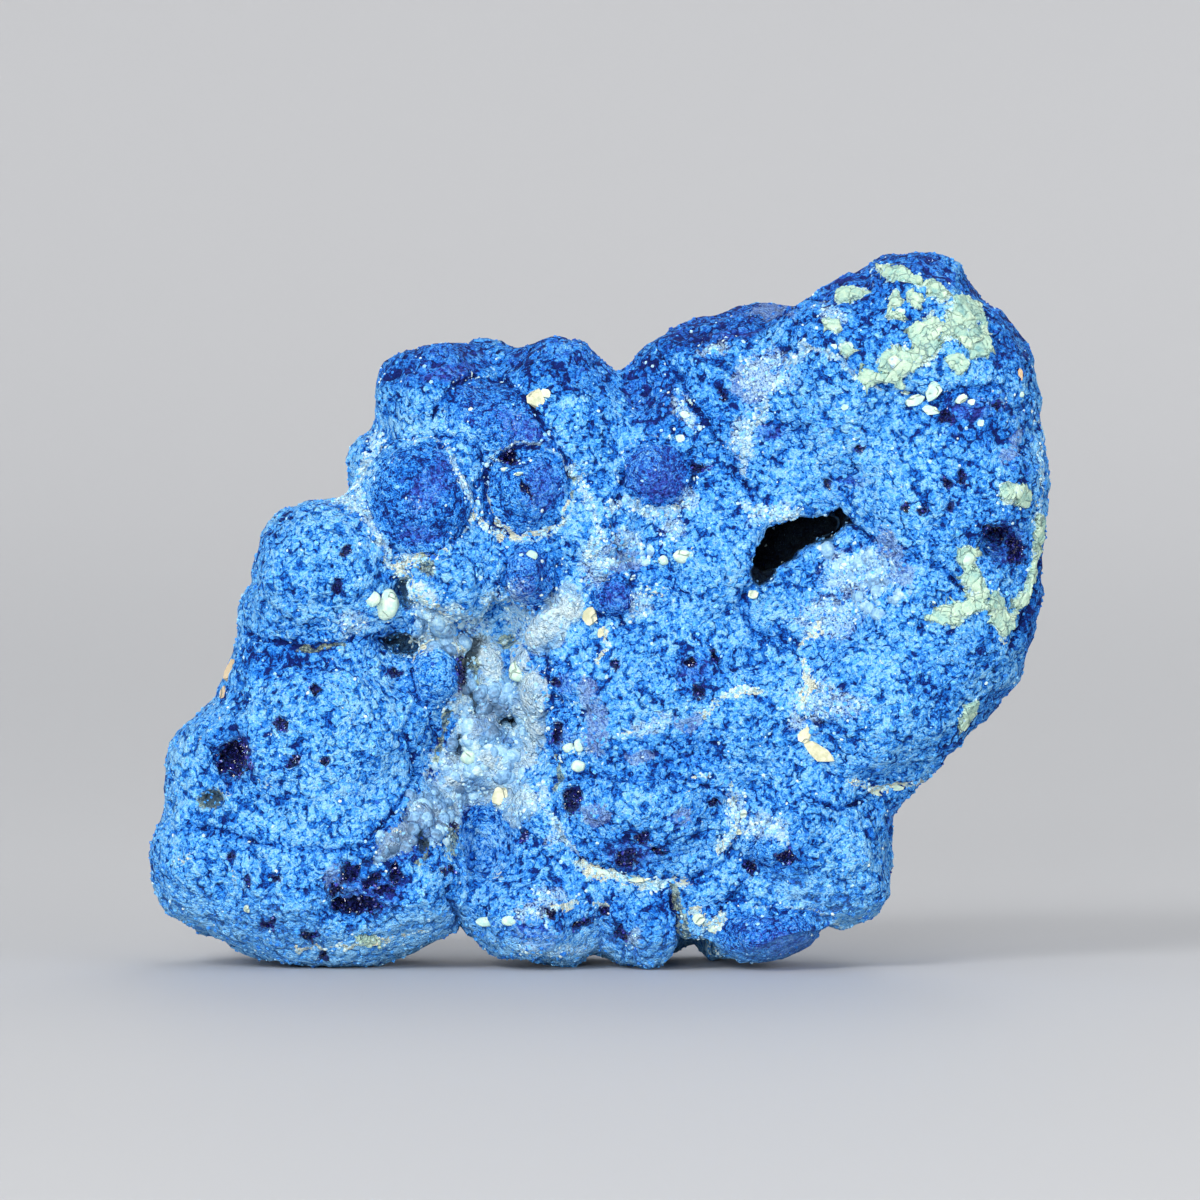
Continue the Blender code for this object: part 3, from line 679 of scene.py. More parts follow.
# The crust's relief. Grooves part the nodules, vugs are sunk in, knobs, grains and pores cover all
# of it, and small round heads stand close together in the gully. The places are first shifted a
# little by noise, so that no edge of a spot or line comes out smooth.
KNOBS = (
    (11 * MM, 0.55 * MM), (5.2 * MM, 0.46 * MM), (2.6 * MM, 0.34 * MM), (1.35 * MM, 0.22 * MM),
)
COARSE_KNOB = 2 * MM
GRAIN_SIZE = 1.25 * MM
GRAIN_HEIGHT = 0.30 * MM
PORE_SIZE = 1.15 * MM
PORE_DEPTH = 0.46 * MM
HEAD_SIZE = 2.1 * MM
HEAD_HEIGHT = 0.75 * MM
NODULE_DOME = 0.60 * MM
NODULE_GROOVE = 0.80 * MM
LOBE_HEIGHT = 1.1 * MM
GROOVE_HALF_WIDE = 2.6
FRONT_ENDS = (1 * MM, 9 * MM)
BACK_VUGS = 60
BACK_VUG_RADII = (0.5, 2.1)
RAGGED_SPOTS = ((6 * MM, 0.9 * MM), (2.2 * MM, 0.7 * MM), (0.9 * MM, 0.35 * MM))
RAGGED_LINES = ((4 * MM, 0.5 * MM), (1.5 * MM, 0.5 * MM), (0.7 * MM, 0.35 * MM))
RAGGED_NODULES = ((5 * MM, 0.35 * MM), (1.6 * MM, 0.3 * MM), (0.8 * MM, 0.16 * MM))
RAGGED_GRAINS = ((1.1 * MM, 0.4 * MM),)
RAGGED_VUGS = ((1.8 * MM, 0.5 * MM), (0.8 * MM, 0.5 * MM))

places = rows(rock.data.vertices, "co")
normals = rows(rock.data.vertices, "normal")
for *spot, right, down in EDGE_SHIFTS.values():
    share = 1 - step(spot_distance(places, (*spot, 0)), 0.4, 1.6)
    places[:, 0] += right * PIXEL * share
    places[:, 2] -= down * PIXEL * share
places[:, 2] = np.maximum(places[:, 2], 0.0)
seen = 1 - step(places[:, 1], *FRONT_ENDS)
hidden = 1 - seen


def ragged(places, shifts):
    """The places moved across and up by noise of several sizes."""
    bent = places.copy()
    for number, (size, shift) in enumerate(shifts):
        bent[:, 0] += shift * lumps(places, size, seed=20.3 + number)
        bent[:, 2] += shift * lumps(places, size, seed=31.9 + number)
    return bent


bent = ragged(places, RAGGED_SPOTS)
line_bent = ragged(places, RAGGED_LINES)
near_bent = ragged(places, RAGGED_NODULES)

relief = np.zeros(len(places))
coarse = np.zeros(len(places))
for number, (size, height) in enumerate(KNOBS):
    knob = height * lumps(places, size, seed=3.1 * number)
    relief += knob
    coarse += knob * (size > COARSE_KNOB)

groove = np.zeros(len(places))
strength = 0.75 + 0.5 * lumps(places, 4 * MM, seed=8.8)
for depth, line in CREVICES.values():
    away = line_distance(near_bent, line) / GROOVE_HALF_WIDE
    groove = np.maximum(groove, depth * np.exp(-away * away))
groove *= np.clip(strength, 0.25, 1.2) * seen
relief -= groove * MM

ring = np.zeros(len(places))
rim = np.zeros(len(places))
dome = np.zeros(len(places))
disc = np.zeros(len(places))
for *spot, parted in ROUND_NODULES.values():
    out = spot_distance(near_bent, spot)
    dome = np.maximum(dome, np.clip(1 - out ** 4, 0, 1))
    disc = np.maximum(disc, np.clip(1 - out, 0, 1))
    width = 2.2 / min(spot[2:4])
    ring = np.maximum(ring, parted * np.exp(-((out - 1 - width) / width) ** 2))
    rim = np.maximum(rim, parted * np.exp(-((out - 1 - 2.8 * width) / (1.1 * width)) ** 2))
ring *= np.clip(0.6 + 1.2 * lumps(places, 3 * MM, seed=14.4), 0.1, 1)
relief += (NODULE_DOME * dome - NODULE_GROOVE * ring) * seen

in_gully = nearness(bent, GULLY.values()) * seen
heads = np.array([noise.voronoi(Vector(place) / HEAD_SIZE)[0][0] for place in places])
gully_share = step(in_gully, 0.46, 0.56)
relief += gully_share * HEAD_HEIGHT * (0.8 - 1.7 * heads * heads)

grains = np.array([
    noise.voronoi(Vector(place) / GRAIN_SIZE)[0][0] for place in ragged(places, RAGGED_GRAINS)
])
relief += (1 - gully_share) * GRAIN_HEIGHT * (0.55 - 1.3 * grains) * (1 - 0.5 * dome * seen)
pore_noise = lumps(places, PORE_SIZE, seed=12.3) + 0.6 * lumps(places, 0.5 * PORE_SIZE, seed=4.1)
pore_noise += 0.3 * lumps(places, 6 * MM, seed=1.7)
pore = step(pore_noise, 0.24, 0.58) * (1 - 0.8 * gully_share) * (1 - 0.7 * step(dome, 0, 0.3) * seen)
relief -= PORE_DEPTH * pore

lobe = np.zeros(len(places))
for spot in GULLY_LOBES.values():
    out = spot_distance(near_bent, spot)
    lobe = np.maximum(lobe, np.sqrt(np.clip(1 - out * out, 0, 1)))
lobe *= seen
relief = relief * (1 - 0.75 * step(lobe, 0, 0.5)) + LOBE_HEIGHT * lobe

# Vugs are sunk straight back from the front, so that their walls stay steep.
vug_bent = ragged(places, RAGGED_VUGS)
sunk = np.zeros(len(places))
vug = np.zeros(len(places))
hollow = np.zeros(len(places))
for name, (px, py, half_wide, half_high, lean, depth) in (VUGS | HOLLOWS).items():
    out = spot_distance(vug_bent, (px, py, half_wide + 0.8, half_high + 0.8, lean))
    sunk = np.maximum(sunk, depth * MM * (1 - step(out, 0.6, 1.1)))
    if name in HOLLOWS:
        hollow = np.maximum(hollow, np.clip(1 - 0.5 * out, 0, 1))
    else:
        vug = np.maximum(vug, np.clip(1 - 0.5 * out, 0, 1))
facing = np.clip(-normals[:, 1] * 1.6, 0, 1)
sunk *= seen * facing
vug *= seen
hollow *= seen

# The cave goes far in, so its walls are painted near black as painted shade. They are what lies behind
# its mouth, from well below the crust's own surface there to its back wall.
CAVE = (800, 545, 88, 62, 20)
CAVE_LIP = 4.5 * MM
CAVE_DEPTHS = (-13.5 * MM, -11.0 * MM, 9.0 * MM, 12.0 * MM)
in_cave = 1 - step(spot_distance(places, CAVE), 0.9, 1.1)
in_cave *= step(places[:, 1], *CAVE_DEPTHS[:2]) * (1 - step(places[:, 1], *CAVE_DEPTHS[2:]))
mouth = 1 - step(outline_distance(places, CAVE_OUTLINE), -1.5, 2.0)
mouth *= 1 - step(places[:, 1], *CAVE_DEPTHS[:2])
sunk = np.maximum(sunk, CAVE_LIP * mouth)
in_cave = np.maximum(in_cave, mouth)

# The back and the sides have vugs of their own, each at a vertex drawn from a fixed series.
draw = np.random.RandomState(41)
behind = np.flatnonzero((places[:, 1] > 3 * MM) & (places[:, 2] > 5 * MM))
for index in draw.choice(behind, BACK_VUGS, replace=False):
    radius = draw.uniform(*BACK_VUG_RADII) * MM
    away = np.linalg.norm((vug_bent - places[index]) * draw.uniform(0.7, 1.3, 3), axis=1) / radius
    relief -= 0.9 * radius * (1 - step(away, 0.5, 1.15))
    vug = np.maximum(vug, np.clip(1 - 0.5 * away, 0, 1))

moved = places + normals * relief[:, None]
moved[:, 1] += sunk
moved[:, 2] = np.maximum(moved[:, 2], np.where(places[:, 2] < 0.6 * MM, 0.0, 0.05 * MM))
move_to(rock, moved)


def tint(places, spots):
    """The strength of the strongest of these soft spots at each place."""
    found = np.zeros(len(places))
    for *spot, strength in spots.values():
        found = np.maximum(found, strength * (1 - step(spot_distance(places, spot), 0.78, 1.12)))
    return found


UNDERSIDE_ENDS = (8 * MM, 17 * MM)

back_cloud = lumps(places, 14 * MM, seed=5.5) + 0.5 * lumps(places, 5 * MM, seed=2.2)
# The deep tone holds the rock's own deeper blue, as patches at random on the back, and painted shade along
# the front's top and outer edges and in the gully.
deep_blue_and_shade = tint(near_bent, DEEP_BLUES_AND_SHADE) * seen + hidden * step(back_cloud, 0.0, 0.7) * 0.8
write_attribute(rock, "deep", deep_blue_and_shade)
write_attribute(rock, "vug", vug)
write_attribute(rock, "hollow", hollow)
write_attribute(rock, "cave", in_cave)
write_attribute(rock, "pore", pore)
write_attribute(rock, "groove", np.clip(groove + 0.9 * ring * seen, 0, 1))
write_attribute(rock, "rim", rim * seen)
write_attribute(rock, "disc", disc * seen)
write_attribute(rock, "gully", in_gully)
pale = nearness(bent, PALE_CRUSTS.values()) * seen
pale = np.maximum(pale, hidden * np.clip(0.3 + 0.45 * lumps(places, 11 * MM, seed=9.1), 0, 1))
write_attribute(rock, "pale", pale)
powder = nearness(bent, POWDERS.values()) * seen
powder = np.maximum(powder, hidden * np.clip(0.25 + 0.6 * lumps(places, 16 * MM, seed=6.4), 0, 1))
write_attribute(rock, "powder", powder)
line_gaps = 0.45 * lumps(places, 2.6 * MM, seed=27.1) + 0.25 * lumps(places, 1.0 * MM, seed=9.9)
cream = nearness(line_bent, lines=CREAM_LINES.values()) * seen + np.minimum(line_gaps, 0.05)
pale_line = nearness(line_bent, lines=PALE_LINES.values()) * seen + np.minimum(line_gaps, 0.05)
write_attribute(rock, "cream", cream)
write_attribute(rock, "pale_line", pale_line)
# Painted light: how much paler the colour is made on each spot of painted light.
write_attribute(rock, "light", tint(bent, PAINTED_LIGHT_SPOTS) * seen)
write_attribute(rock, "olive", nearness(near_bent, OLIVES.values(), OLIVE_LINES.values()) * seen)
write_attribute(rock, "grey", nearness(bent, GREYS.values()) * seen)
write_attribute(rock, "violet", nearness(near_bent, VIOLETS.values()) * seen)
write_attribute(rock, "lobe", lobe)
write_attribute(rock, "patch", cloudy(places, 3.2 * MM, 3, seed=40.2))
write_attribute(rock, "cloud", cloudy(places, 11 * MM, 3, seed=51.7))
# Painted light on the underside: faces near the bottom that turn downwards are made paler and bluer where
# the rock lies in its own shade.
low = 1 - step(places[:, 2], *UNDERSIDE_ENDS)
write_attribute(rock, "under", step(-normals[:, 2], 0.1, 0.85) * low)
write_attribute(rock, "cracked", cloudy(places, 1.9 * MM, 2, seed=62.4))
write_attribute(rock, "relief", relief / MM)

# The rock's finish: dull blue azurite, paler where it is powdery, with the other tones laid over it one by
# one. Painted light makes it paler where it is raised, on the spots of painted light and on its underside,
# and painted shade makes it darker in its pores, pits, grooves, gully gaps, hollows and cave, and along its
# top and outer edges. The vugs are lined dark, and single specks carry painted glints.
FINE_SIZE = 0.46 * MM
SPECKLE_SIZE = 0.22 * MM
CRUMB_SIZE = 1.15 * MM
BIT_SIZE = 0.5 * MM
WINDING_SIZE = 0.9 * MM
BUMP_HEIGHT = 0.5 * MM
AZURE_STOPS = (
    (0.0, paint(2, 30, 104)), (0.20, paint(5, 82, 178)), (0.44, paint(28, 124, 222)),
    (0.62, paint(74, 158, 237)), (0.80, paint(103, 181, 247)), (1.0, paint(143, 205, 250)),
)
UNDERSIDE_PAINTED_LIGHT = paint(120, 190, 252)
VIOLET = paint(66, 70, 172)
PLUM = (paint(26, 40, 140), paint(84, 92, 210))
GREY = (paint(84, 116, 186), paint(148, 180, 222))
POWDER = paint(180, 216, 238)
GULLY_BLUE = (paint(122, 170, 210), paint(200, 228, 234))
GULLY_GAP_SHADE = paint(70, 100, 132)
GULLY_PAINTED_SHADE = paint(84, 116, 160)
LOBE = (paint(148, 186, 212), paint(212, 230, 232))
NODULE_RIM = paint(176, 212, 220)
CRUST_EDGE = (paint(150, 200, 204), paint(212, 238, 222))
WHITE_LINE = (paint(112, 176, 230), paint(188, 218, 228))
CREAM_LINE = (paint(160, 204, 220), paint(224, 226, 196))
OLIVE = (paint(70, 92, 88), paint(180, 194, 152))
VUG = (paint(8, 6, 34), paint(44, 46, 140))
HOLLOW_SHADE = paint(44, 68, 90)
CAVE_PAINTED_SHADE = paint(3, 4, 8)
PAINTED_GLINT = paint(190, 226, 252)

rock_paint, surface = new_material("azurite_rock")
place = Wire.node("ShaderNodeTexCoord", output="Object")


def stored(name):
    """The number of that name at each point of the piece."""
    return Wire.node("ShaderNodeAttribute", {"attribute_name": name}, output="Fac")


def swirled(place, size, shift):
    """The place moved about by coloured noise, so that a pattern read there winds."""
    push = Wire.node("ShaderNodeTexNoise", output="Color", Vector=place, Scale=1 / size, Detail=0.0)
    return Wire.node(
        "ShaderNodeVectorMath", {"operation": "MULTIPLY_ADD"}, _0=push, _1=(shift,) * 3, _2=place
    )


fine = grain(place, FINE_SIZE, 2.0, 0.65)
speckle = grain(place, SPECKLE_SIZE, 1.0, 0.6)
patch = stored("patch")
cloud = stored("cloud")
deep = stored("deep")
disc_share = stored("disc").between(0.0, 0.1)
open_share = 1 - disc_share * 0.45
winding = swirled(place, WINDING_SIZE, WINDING_SIZE)
crumb = Wire.node("ShaderNodeTexVoronoi", output="Color", Vector=winding, Scale=1 / CRUMB_SIZE)
crumb_away = crumb.other("Distance")
bit = Wire.node("ShaderNodeTexVoronoi", output="Color", Vector=winding, Scale=1 / BIT_SIZE)
bit_away = bit.other("Distance")
pit = grain(winding, CRUMB_SIZE, 2.0, 0.55).between(0.59, 0.65)
crack = crumb_away.between(0.52, 0.66) * stored("cracked").between(0.46, 0.55) * open_share
small_pit = bit_away.between(0.62, 0.74) * stored("cracked").between(0.56, 0.46)
edge = (patch - 0.5) * 0.9 + (fine - 0.5) * 0.9

grained = (fine - 0.5) * 1.0 + (speckle - 0.5) * (0.9 + disc_share * 0.7)
clouded = (patch - 0.5) * 0.42 + (cloud - 0.5) * 0.55
# Each crumb has its own tone at random; the darker edges between crumbs are painted shade.
crumbs_and_gap_shade = ((crumb - 0.5) * 0.25 - crumb_away.between(0.5, 0.8) * 0.12) * open_share
crumbs_and_gap_shade += (bit - 0.5) * 0.42 - bit_away.between(0.45, 0.75) * 0.20
# Painted light: paler where the relief is higher, on the spots of painted light and on the underside; the
# powder is the rock's own paler dust.
raised_and_lit = stored("relief") * 0.14 + stored("powder") * 0.08 + stored("light") * 0.5 + stored("under") * 0.26
# Painted shade in the pores and grooves; deep is the rock's own deeper blue and painted shade along its
# edges and in the gully.
sunken_and_shaded = deep * 0.42 + stored("pore") * 0.13 + stored("groove") * 0.45
# Painted shade: dark marks in the pits and cracks of the crust, finer than the mesh.
pit_shade = pit * open_share * 0.27 + small_pit * 0.32 + crack * 0.42
tone = 0.84 + grained + clouded + crumbs_and_gap_shade + raised_and_lit - sunken_and_shaded - pit_shade
colour = Wire.node("ShaderNodeValToRGB", {"stops": AZURE_STOPS}, Fac=tone)
# Painted light: the underside is blended towards a pale blue.
colour = blend(stored("under") * 0.22, colour, UNDERSIDE_PAINTED_LIGHT)
violet = (deep * (cloud + (fine - 0.5) * 1.2)).between(0.42, 0.62) * 0.22
colour = blend(violet, colour, VIOLET)
plum = (stored("violet") + (fine - 0.5) * 0.9 + (patch - 0.5) * 0.7).between(0.36, 0.74)
colour = blend(plum * 0.32, colour, blend(fine.between(0.35, 0.6), *PLUM))
powdery = (stored("powder") + edge * 0.6).between(0.46, 0.70) * (speckle + fine * 0.7).between(0.60, 1.02)
grey_mask = (stored("grey") + edge * 0.5).between(0.46, 0.60)
grey_tone = blend((fine + (speckle - 0.5) * 0.8).between(0.3, 0.7), *GREY)
colour = blend(grey_mask * 0.7, colour, grey_tone)
colour = blend(powdery * 0.8, colour, POWDER)
gully_mask = (stored("gully") + edge * 0.35).between(0.44, 0.56)
gully_tone = blend(patch.between(0.38, 0.62), *GULLY_BLUE)
# Painted shade in the gaps between the gully's round heads, where the relief is low.
gully_gap = (0.0 - stored("relief")).between(0.0, 0.8)
gully_tone = blend(gully_gap * 0.55, gully_tone, GULLY_GAP_SHADE)
# Painted shade: the gully is darker grey blue where it lies deep.
gully_tone = blend(deep * 0.6, gully_tone, GULLY_PAINTED_SHADE)
colour = blend(gully_mask * (fine * 1.6).clamped(), colour, gully_tone)
lobe_mask = (stored("lobe") + edge * 0.5).between(0.25, 0.5)
lobe_tone = blend((fine * 0.6 + patch * 0.6).between(0.45, 0.75), *LOBE)
colour = blend(lobe_mask * 0.85, colour, lobe_tone)
rim_mask = (stored("rim") * 0.8 + (fine - 0.5) * 1.2).between(0.42, 0.66) * patch.between(0.42, 0.52)
colour = blend(rim_mask * 0.75, colour, NODULE_RIM)
pale_mask = (stored("pale") + edge * 0.42).between(0.47, 0.53)
pale_tone = blend((fine + (patch - 0.5) * 0.8).between(0.3, 0.7), *CRUST_EDGE)
colour = blend(pale_mask * 0.92, colour, pale_tone)
white_mask = (stored("pale_line") + edge * 1.6).between(0.46, 0.60)
colour = blend(white_mask * 0.8, colour, blend(fine.between(0.35, 0.62), *WHITE_LINE))
cream_mask = (stored("cream") + edge * 1.5).between(0.44, 0.56)
cream_tone = blend((patch + (fine - 0.5)).between(0.35, 0.65), *CREAM_LINE)
colour = blend(cream_mask * 0.9, colour, cream_tone)
olive_mask = (stored("olive") + edge * 0.8).between(0.46, 0.62)
colour = blend(olive_mask * 0.75, colour, blend(fine.between(0.4, 0.66), *OLIVE))
vug_mask = (stored("vug") + (fine - 0.5) * 0.9 + (speckle - 0.5) * 0.4).between(0.49, 0.64)
vug_tone = blend((speckle + fine * 0.4).between(0.60, 0.86), *VUG)
colour = blend(vug_mask * 0.93, colour, vug_tone)
# Painted shade: the hollows are painted a dark grey teal.
hollow_shade_mask = (stored("hollow") + (fine - 0.5) * 0.8).between(0.48, 0.72)
colour = blend(hollow_shade_mask * 0.85, colour, HOLLOW_SHADE)
# Painted shade: the cave's walls and mouth are painted near black.
colour = blend(stored("cave") * 0.97, colour, CAVE_PAINTED_SHADE)
# Painted highlights: single specks are blended towards a pale blue white and made less rough, except in the
# cave.
painted_glint = bit.between(0.94, 0.96) * speckle.between(0.5, 0.6) * (1 - stored("cave"))
colour = blend(painted_glint * 0.6, colour, PAINTED_GLINT)
feed(surface, "Base Color", colour)
feed(surface, "Roughness", 0.88 - painted_glint * 0.45 - vug_mask * 0.3)
surface.inputs["Specular IOR Level"].default_value = 0.2
height = (0.5 - crumb_away) * open_share * 0.65 + (0.5 - bit_away) * 0.4 - crack * 0.6
height += (fine - 0.5) * 1.1 + (speckle - 0.5) * 0.8
feed(surface, "Normal", Wire.node("ShaderNodeBump", Height=height, Distance=BUMP_HEIGHT))
rock.data.materials.clear()
rock.data.materials.append(rock_paint)
only(rock)
bpy.ops.object.shade_smooth()
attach(rock, "root")
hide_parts(NODE)

# Pale green crust, a chalky copper mineral that lies on the azurite where water dried. It has shrunk
# into flat plates with fine cracks between them. It bridges the grains of the rock, so its own
# surface is smoother.
CRUST_LIFT = 0.50 * MM
CRUST_THICK = 1.3 * MM
CRUST_EDGE_SHARE = 0.54
PLATE_SIZE = 1.45 * MM
PLATE_STEP = 0.26 * MM
CHALK_STOPS = (
    (0.0, paint(104, 158, 168)), (0.35, paint(146, 186, 176)), (0.7, paint(178, 206, 184)),
    (1.0, paint(200, 220, 196)),
)
SEAM_BLUE = paint(80, 126, 152)
HAIRLINE_BLUE = paint(96, 136, 152)
STAIN_BLUE = paint(72, 146, 214)

crust_share = pale + 0.20 * lumps(places, 2.2 * MM, seed=18.8) + 0.16 * lumps(places, 0.9 * MM, seed=2.8)
crust = bpy.data.objects.new("pale_crust", rock.data.copy())
bpy.context.scene.collection.objects.link(crust)
corners = np.empty(len(rock.data.loops), dtype=np.int64)
rock.data.loops.foreach_get("vertex_index", corners)
corners = corners.reshape(-1, 3)
level = coarse - 0.5 * groove * MM + NODULE_DOME * dome * seen + CRUST_LIFT
move_to(crust, places + normals * level[:, None])
select_faces(crust, crust_share[corners].mean(axis=1) < CRUST_EDGE_SHARE)
bpy.ops.mesh.delete(type="FACE")
bpy.ops.mesh.select_all(action="SELECT")
bpy.ops.mesh.subdivide(number_cuts=1, smoothness=0.0)
bpy.ops.object.mode_set(mode="OBJECT")
finish_with(crust, "SMOOTH", factor=0.5, iterations=6)
crust_places = rows(crust.data.vertices, "co")
plates = [
    noise.voronoi(Vector(place) / PLATE_SIZE)
    for place in crust_places + 0.3 * MM * lumps(crust_places, 1.2 * MM, seed=5.1)[:, None]
]
tilts = np.array([noise.noise(points[0] * 3.3) for gaps, points in plates])
crack_near = np.array([gaps[1] - gaps[0] for gaps, points in plates])
lift = PLATE_STEP * tilts + 0.16 * MM * (step(crack_near, 0.0, 0.16) - 1)
lift += 0.05 * MM * lumps(crust_places, 0.8 * MM)
move_to(crust, crust_places + rows(crust.data.vertices, "normal") * lift[:, None])
write_attribute(crust, "seam", np.clip(crack_near, 0, 1))
write_attribute(crust, "plate", tilts)
finish_with(crust, "SOLIDIFY", thickness=CRUST_THICK, offset=-1.0, use_rim=True)
finish_with(crust, "TRIANGULATE")
crust_paint, surface = new_material("pale_crust")
place = Wire.node("ShaderNodeTexCoord", output="Object")
fine = grain(place, 0.5 * MM, 3.0, 0.6)
patch = grain(place, 3.0 * MM, 3.0, 0.55)
chalk = Wire.node(
    "ShaderNodeValToRGB", {"stops": CHALK_STOPS},
    Fac=0.6 + (fine - 0.5) * 1.0 + (patch - 0.5) * 1.2 + stored("plate") * 0.35,
)
cell_edge = Wire.node(
    "ShaderNodeTexVoronoi", {"feature": "DISTANCE_TO_EDGE"}, output="Distance",
    Vector=swirled(place, 1.3 * MM, 0.5 * MM), Scale=1 / (1.15 * MM),
)
hairline = (1 - cell_edge.between(0.015, 0.06)) * grain(place, 1.6 * MM, 1.0).between(0.48, 0.56)
seam = (1 - stored("seam").between(0.0, 0.07)) * grain(place, 2.4 * MM, 2.0).between(0.40, 0.52)
colour = blend(seam * 0.5, chalk, SEAM_BLUE)
colour = blend(hairline * 0.5, colour, HAIRLINE_BLUE)
stain = (patch * 0.7 + fine * 0.5).between(0.70, 0.78)
colour = blend(stain * 0.6, colour, STAIN_BLUE)
feed(surface, "Base Color", colour)
feed(surface, "Roughness", 0.85 + (fine - 0.5) * 0.2)
surface.inputs["Specular IOR Level"].default_value = 0.2
height = (fine - 0.5) * 0.7 + (grain(place, 0.2 * MM, 2.0) - 0.5) * 0.4 - seam * 0.5 - hairline * 0.6
feed(surface, "Normal", Wire.node("ShaderNodeBump", Height=height, Distance=0.25 * MM))
crust.data.materials.clear()
crust.data.materials.append(crust_paint)
only(crust)
bpy.ops.object.shade_smooth()
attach(crust, "root")
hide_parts(NODE)

# Loose grains of azurite all over the rock, half sunk in it and grown fast there. One grain is
# shaped, and its copies are laid on the rock at places drawn from a fixed series.
GRAIN_COUNT = 9300
GRAIN_RADII = (0.16 * MM, 0.42 * MM)
GRAIN_STOPS = (
    (0.0, paint(6, 72, 170)), (0.3, paint(34, 126, 222)), (0.6, paint(76, 168, 242)),
    (0.8, paint(112, 194, 250)), (1.0, paint(166, 222, 254)),
)

rock_places = rows(rock.data.vertices, "co")
rock_normals = rows(rock.data.vertices, "normal")


def drawn_on_rock(weights, count, draw):
    """Places, normals and nearest vertices, drawn by area but more often where weights are high."""
    first, second, third = (rock_places[corners[:, k]] for k in range(3))
    chance = np.linalg.norm(np.cross(second - first, third - first), axis=1)
    chance *= np.clip(weights, 0, None)[corners].mean(axis=1)
    picked = draw.choice(len(corners), count, p=chance / chance.sum())
    share = draw.dirichlet((1, 1, 1), count)
    middles = (rock_places[corners[picked]] * share[:, :, None]).sum(axis=1)
    ways = (rock_normals[corners[picked]] * share[:, :, None]).sum(axis=1)
    return middles, ways / np.linalg.norm(ways, axis=1)[:, None], corners[picked][:, 0]


def strewn(name, model, middles, ways, sizes, draw, tilt=0.5, sink=0.3):
    """One piece made of copies of a small model, each turned at random about its own way up."""
    count = len(middles)
    points = rows(model.data.vertices, "co")
    model.data.calc_loop_triangles()
    faces = np.array([triangle.vertices for triangle in model.data.loop_triangles])
    up = ways + tilt * draw.normal(0, 0.5, (count, 3))
    up /= np.linalg.norm(up, axis=1)[:, None]
    side = np.cross(up, draw.normal(0, 1, (count, 3)))
    side /= np.linalg.norm(side, axis=1)[:, None]
    turns = np.stack([side, np.cross(up, side), up], axis=1)
    laid = np.einsum("nj,cj,cjk->cnk", points, sizes, turns)
    laid += (middles - sink * sizes[:, 2:] * ways)[:, None, :]
    laid[:, :, 2] = np.maximum(laid[:, :, 2], 0.0)
    mesh = bpy.data.meshes.new(name)
    all_faces = faces[None] + np.arange(count)[:, None, None] * len(points)
    mesh.from_pydata(laid.reshape(-1, 3), [], all_faces.reshape(-1, 3))
    piece = bpy.data.objects.new(name, mesh)
    bpy.context.scene.collection.objects.link(piece)
    write_attribute(piece, "shade", np.repeat(draw.uniform(0, 1, count), len(points)))
    bpy.data.objects.remove(model)
    return piece


bpy.ops.mesh.primitive_ico_sphere_add(subdivisions=1, radius=1.0)
model = bpy.context.object
draw = np.random.RandomState(7)
bare = 1 - np.clip(step(pale, 0.45, 0.6) + step(in_gully, 0.42, 0.55) + step(vug, 0.4, 0.6), 0, 1)
bare *= (0.25 + 0.75 * step(relief / MM, -0.3, 0.6)) * (1 - 0.85 * step(disc * seen, 0, 0.1))
bare *= 1 - in_cave
middles, ways, near = drawn_on_rock(bare * (0.45 + 0.55 * seen), GRAIN_COUNT, draw)
radii = draw.uniform(*GRAIN_RADII, GRAIN_COUNT) * draw.uniform(0.6, 1.0, GRAIN_COUNT)
sizes = radii[:, None] * draw.uniform(0.65, 1.35, (GRAIN_COUNT, 3))
grain_piece = strewn("azurite_grains", model, middles, ways, sizes, draw)
grain_corners = len(grain_piece.data.vertices) // GRAIN_COUNT
write_attribute(grain_piece, "deep", np.repeat(deep_blue_and_shade[near], grain_corners))
grain_paint, surface = new_material("azurite_grain")
place = Wire.node("ShaderNodeTexCoord", output="Object")
fine = grain(place, 0.35 * MM, 2.0, 0.6)
cloud = grain(place, 6 * MM, 2.0, 0.5)
tone = 0.55 + (stored("shade") - 0.5) * 0.5 + (fine - 0.5) * 1.4 + (cloud - 0.5) * 0.6
# Darker where the rock under the grain is deep blue, or lies in painted shade along its edges and in the
# gully.
tone -= stored("deep") * 0.42
feed(surface, "Base Color", Wire.node("ShaderNodeValToRGB", {"stops": GRAIN_STOPS}, Fac=tone))
feed(surface, "Roughness", 0.85 - fine.between(0.6, 0.7) * 0.3)
feed(surface, "Normal", Wire.node("ShaderNodeBump", Height=fine, Distance=0.3 * MM))
grain_piece.data.materials.append(grain_paint)
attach(grain_piece, "root")
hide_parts(NODE)

# White and pale blue grains of powder, the dust of the pale crust. They are caught in the hollows and
# along the edges of the nodules, and hold there by themselves.
POWDER_COUNT = 9000
POWDER_RADII = (0.10 * MM, 0.30 * MM)
POWDER_STOPS = (
    (0.0, paint(108, 178, 238)), (0.35, paint(156, 206, 236)), (0.7, paint(188, 218, 222)),
    (1.0, paint(212, 226, 216)),
)

